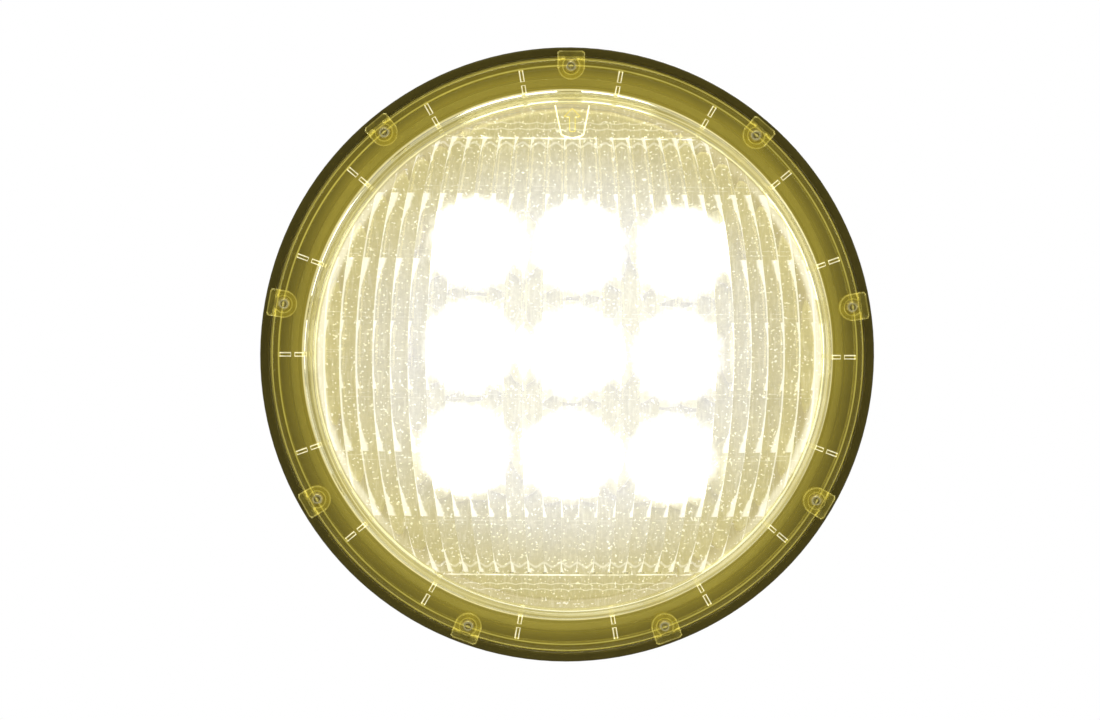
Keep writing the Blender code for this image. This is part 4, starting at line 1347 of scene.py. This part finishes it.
@dataclass(frozen=True)
class SupplyTerminal:
    """One brass post with its captive clamp plate and slotted screw."""

    terminal: Terminal
    place_x: float = 0.0120
    post_end: float = 0.0555
    post_top: float = 0.0703
    post_radius: float = 0.0040
    flange_radius: float = 0.0060
    flange_top: float = 0.0585
    bore: float = 0.0022
    bore_end: float = 0.0595
    clamp_half: Flat = (0.0055, 0.0070)
    clamp_corner: float = 0.0016
    clamp_thickness: float = 0.0012
    clamp_bevel: float = 0.0002
    gap: float = 0.0003
    head_radius: float = 0.0040
    head_height: float = 0.0030
    slot_width: float = 0.0010
    slot_depth: float = 0.0012
    shank: float = 0.0019
    shank_length: float = 0.0100
    pitch: float = 0.0007
    steps: int = 40

    @property
    def centre(self) -> Flat:
        """Return the post's (x, z) place."""
        return self.terminal.side * self.place_x, 0.0

    def build_post(self) -> None:
        """Build the post that passes through the end wall."""
        section = [
            (0.0, self.post_end), (self.flange_radius, self.post_end),
            (self.flange_radius, self.flange_top), (self.post_radius, self.flange_top),
            (self.post_radius, self.post_top), (self.bore, self.post_top), (self.bore, self.bore_end),
            (0.0, self.bore_end),
        ]
        solid = Solid()
        solid.turned(rounded(section, 0.0003, 2, closed=False), self.steps, self.centre)
        solid.stand_for(f"terminal_post_{self.terminal.value}", "turned", Slot.BRASS, BRASS)

    def plate(self, grow: float) -> list[Flat]:
        """Return the clamp plate's outline, one point for each of its hole's."""
        half_x, half_z = self.clamp_half
        points = []
        for out, up in circle(1.0, self.steps):
            flat = min((half_x + grow) / max(abs(out), TINY), (half_z + grow) / max(abs(up), TINY))
            across = (half_x + half_z - self.clamp_corner + grow * 1.4) / (abs(out) + abs(up))
            points.append((out * min(flat, across), up * min(flat, across)))
        return points

    def build_clamp(self) -> None:
        """Build the clamp plate with its hole and softened edges."""
        low = self.post_top + self.gap
        high = low + self.clamp_thickness
        bevel = self.clamp_bevel
        whole, small = self.plate(0.0), self.plate(-bevel)
        hole, wide_hole = circle(self.bore, self.steps), circle(self.bore + bevel, self.steps)
        solid = Solid()
        rings = []
        for outline, y in (
            (small, low), (whole, low + bevel), (whole, high - bevel), (small, high),
            (wide_hole, high), (hole, high - bevel), (hole, low + bevel), (wide_hole, low),
        ):
            rings.append(solid.flat_ring(shifted(outline, self.centre), y))
        solid.loops(rings, closed=True)
        node, body = f"clamp_plate_{self.terminal.value}", self.terminal.body("clamp")
        solid.stand_for(node, "stamped", Slot.CLAMP, CLAMP, body=body, sharp=CRISP_ANGLE)

    def half_head(self, side: float) -> list[Flat]:
        """Return the outline of the head on one side of its slot."""
        start = math.degrees(math.asin(self.slot_width / 2 / self.head_radius))
        span = 180.0 - 2 * start
        arc = [on_circle(self.head_radius, start + span * step / 16) for step in range(17)]
        return shifted([(x, side * z) for x, z in arc], self.centre)

    def build_screw(self) -> None:
        """Build the screw: threaded shank, flanged head and its slot."""
        foot = self.post_top + 2 * self.gap + self.clamp_thickness
        top = foot + self.head_height
        slot_floor = top - self.slot_depth
        end = self.post_top - self.shank_length
        shank, head = self.shank, self.head_radius
        section: list[Flat] = [(0.0, end), (shank - 0.0005, end), (shank - 0.0002, end + 0.0004)]
        for turn in range(int((foot - 0.0008 - end - 0.0006) / self.pitch)):
            y = end + 0.0006 + turn * self.pitch
            crest, root = y + 0.1 * self.pitch, y + 0.5 * self.pitch
            section += [(shank, y), (shank, crest), (shank - 0.0003, root)]
        section += [(shank, foot - 0.0006), (shank, foot), (head - 0.0003, foot)]
        section += [(head, foot + 0.0003), (head, slot_floor), (0.0, slot_floor)]
        solid = Solid()
        solid.turned(section, 48, self.centre)
        for side in (-1.0, 1.0):
            solid.slab(self.half_head(side), slot_floor - 0.0001, top, 0.0004)
        node, body = f"terminal_screw_{self.terminal.value}", self.terminal.body("screw")
        solid.stand_for(node, "turned", Slot.BRASS, BRASS, body=body, sharp=CRISP_ANGLE)

    def build(self) -> None:
        """Build the post, the plate and the screw."""
        self.build_post()
        self.build_clamp()
        self.build_screw()


@dataclass(frozen=True)
class Studio:
    """The pale floor, the soft light and the camera."""

    distance: float = 1.2
    left_deg: float = 3.2
    above_deg: float = 2.8
    roll_deg: float = 0.45
    frame_width: float = 0.3193
    aim: Point = (-0.0051, -0.0045, -0.0015)
    sensor: float = 36.0
    floor_depth: float = -0.22
    floor_half: float = 1.2
    floor_behind: float = 0.6
    backdrop: Colour = (0.40, 0.40, 0.40)
    softboxes: tuple[tuple[str, Point, Flat, float], ...] = (
        ("softbox_top", (0.0, -0.5, 1.1), (0.9, 0.5), 6.0),
        ("softbox_left", (-1.1, -0.6, 0.3), (0.4, 0.9), 3.0),
        ("softbox_right", (1.1, -0.4, 0.3), (0.4, 0.9), 3.0),
        ("softbox_rear", (0.5, 1.2, 0.7), (0.7, 0.7), 10.0),
    )

    def show(self, name: str, data: bpy.types.ID) -> Object:
        """Put an object into the scene."""
        made = bpy.data.objects.new(name, data)
        bpy.context.scene.collection.objects.link(made)
        return made

    def build_floor(self) -> None:
        """Lay a pale floor well below the lamp."""
        half, depth, behind = self.floor_half, self.floor_depth, self.floor_behind
        corners = [(-half, -half), (half, -half), (half, behind), (-half, behind)]
        mesh = bpy.data.meshes.new("studio_floor")
        mesh.from_pydata([(x, y, depth) for x, y in corners], [], [(0, 1, 2, 3)])
        mesh.materials.append(material_of(FLOOR))
        self.show("studio_floor", mesh)

    def build_world(self) -> None:
        """Give the camera a white backdrop and everything else a softer grey one."""
        world = bpy.data.worlds.new("studio_backdrop")
        bpy.context.scene.world = world
        world.use_nodes = True
        tree = world.node_tree
        grey, white = tree.nodes["Background"], tree.nodes.new("ShaderNodeBackground")
        grey.inputs["Color"].default_value = (*self.backdrop, 1.0)
        white.inputs["Color"].default_value = (*WHITE, 1.0)
        path = tree.nodes.new("ShaderNodeLightPath")
        join = tree.nodes.new("ShaderNodeMixShader")
        sources = (path.outputs["Is Camera Ray"], grey.outputs[0], white.outputs[0])
        for source, socket in zip(sources, join.inputs):
            tree.links.new(source, socket)
        tree.links.new(join.outputs[0], tree.nodes["World Output"].inputs[0])

    def build_light(self, name: str, place: Point, size: Flat, power: float) -> None:
        """Hang one soft light that faces the lamp."""
        light = bpy.data.lights.new(name, "AREA")
        light.shape = "RECTANGLE"
        light.size, light.size_y = size
        light.energy = power
        lamp = self.show(name, light)
        lamp.location = place
        lamp.rotation_mode = "QUATERNION"
        lamp.rotation_quaternion = (-Vector(place)).to_track_quat("-Z", "Y")

    def build_camera(self) -> None:
        """Set the camera a little above and to the left of the lamp's axis."""
        left, above = math.radians(self.left_deg), math.radians(self.above_deg)
        aside, ahead = math.sin(left) * math.cos(above), math.cos(left) * math.cos(above)
        back = Vector((-aside, -ahead, math.sin(above)))
        data = bpy.data.cameras.new("camera")
        data.sensor_width = self.sensor
        data.lens = self.sensor * self.distance / self.frame_width
        data.clip_start, data.clip_end = 0.05, 20.0
        camera = self.show("camera", data)
        camera.location = Vector(self.aim) + back * self.distance
        camera.rotation_mode = "QUATERNION"
        roll = Matrix.Rotation(math.radians(self.roll_deg), 3, "Z").to_quaternion()
        camera.rotation_quaternion = (-back).to_track_quat("-Z", "Y") @ roll
        bpy.context.scene.camera = camera

    def build(self) -> None:
        """Set up the whole studio."""
        bpy.context.scene.view_settings.view_transform = "Standard"
        self.build_floor()
        self.build_world()
        for softbox in self.softboxes:
            self.build_light(*softbox)
        self.build_camera()


def main() -> None:
    """Build every sub-assembly and the studio round them."""
    logging.basicConfig(level=logging.INFO, format="%(message)s")
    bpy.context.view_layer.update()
    flange = FlangeLayout()
    RearHousing().build()
    Seal().build()
    LightEngine().build()
    Driver().build()
    FrontLens(flange).build()
    FlangeScrews(flange).build()
    for terminal in Terminal:
        SupplyTerminal(terminal).build()
    Studio().build()


if __name__ == "__main__":
    main()
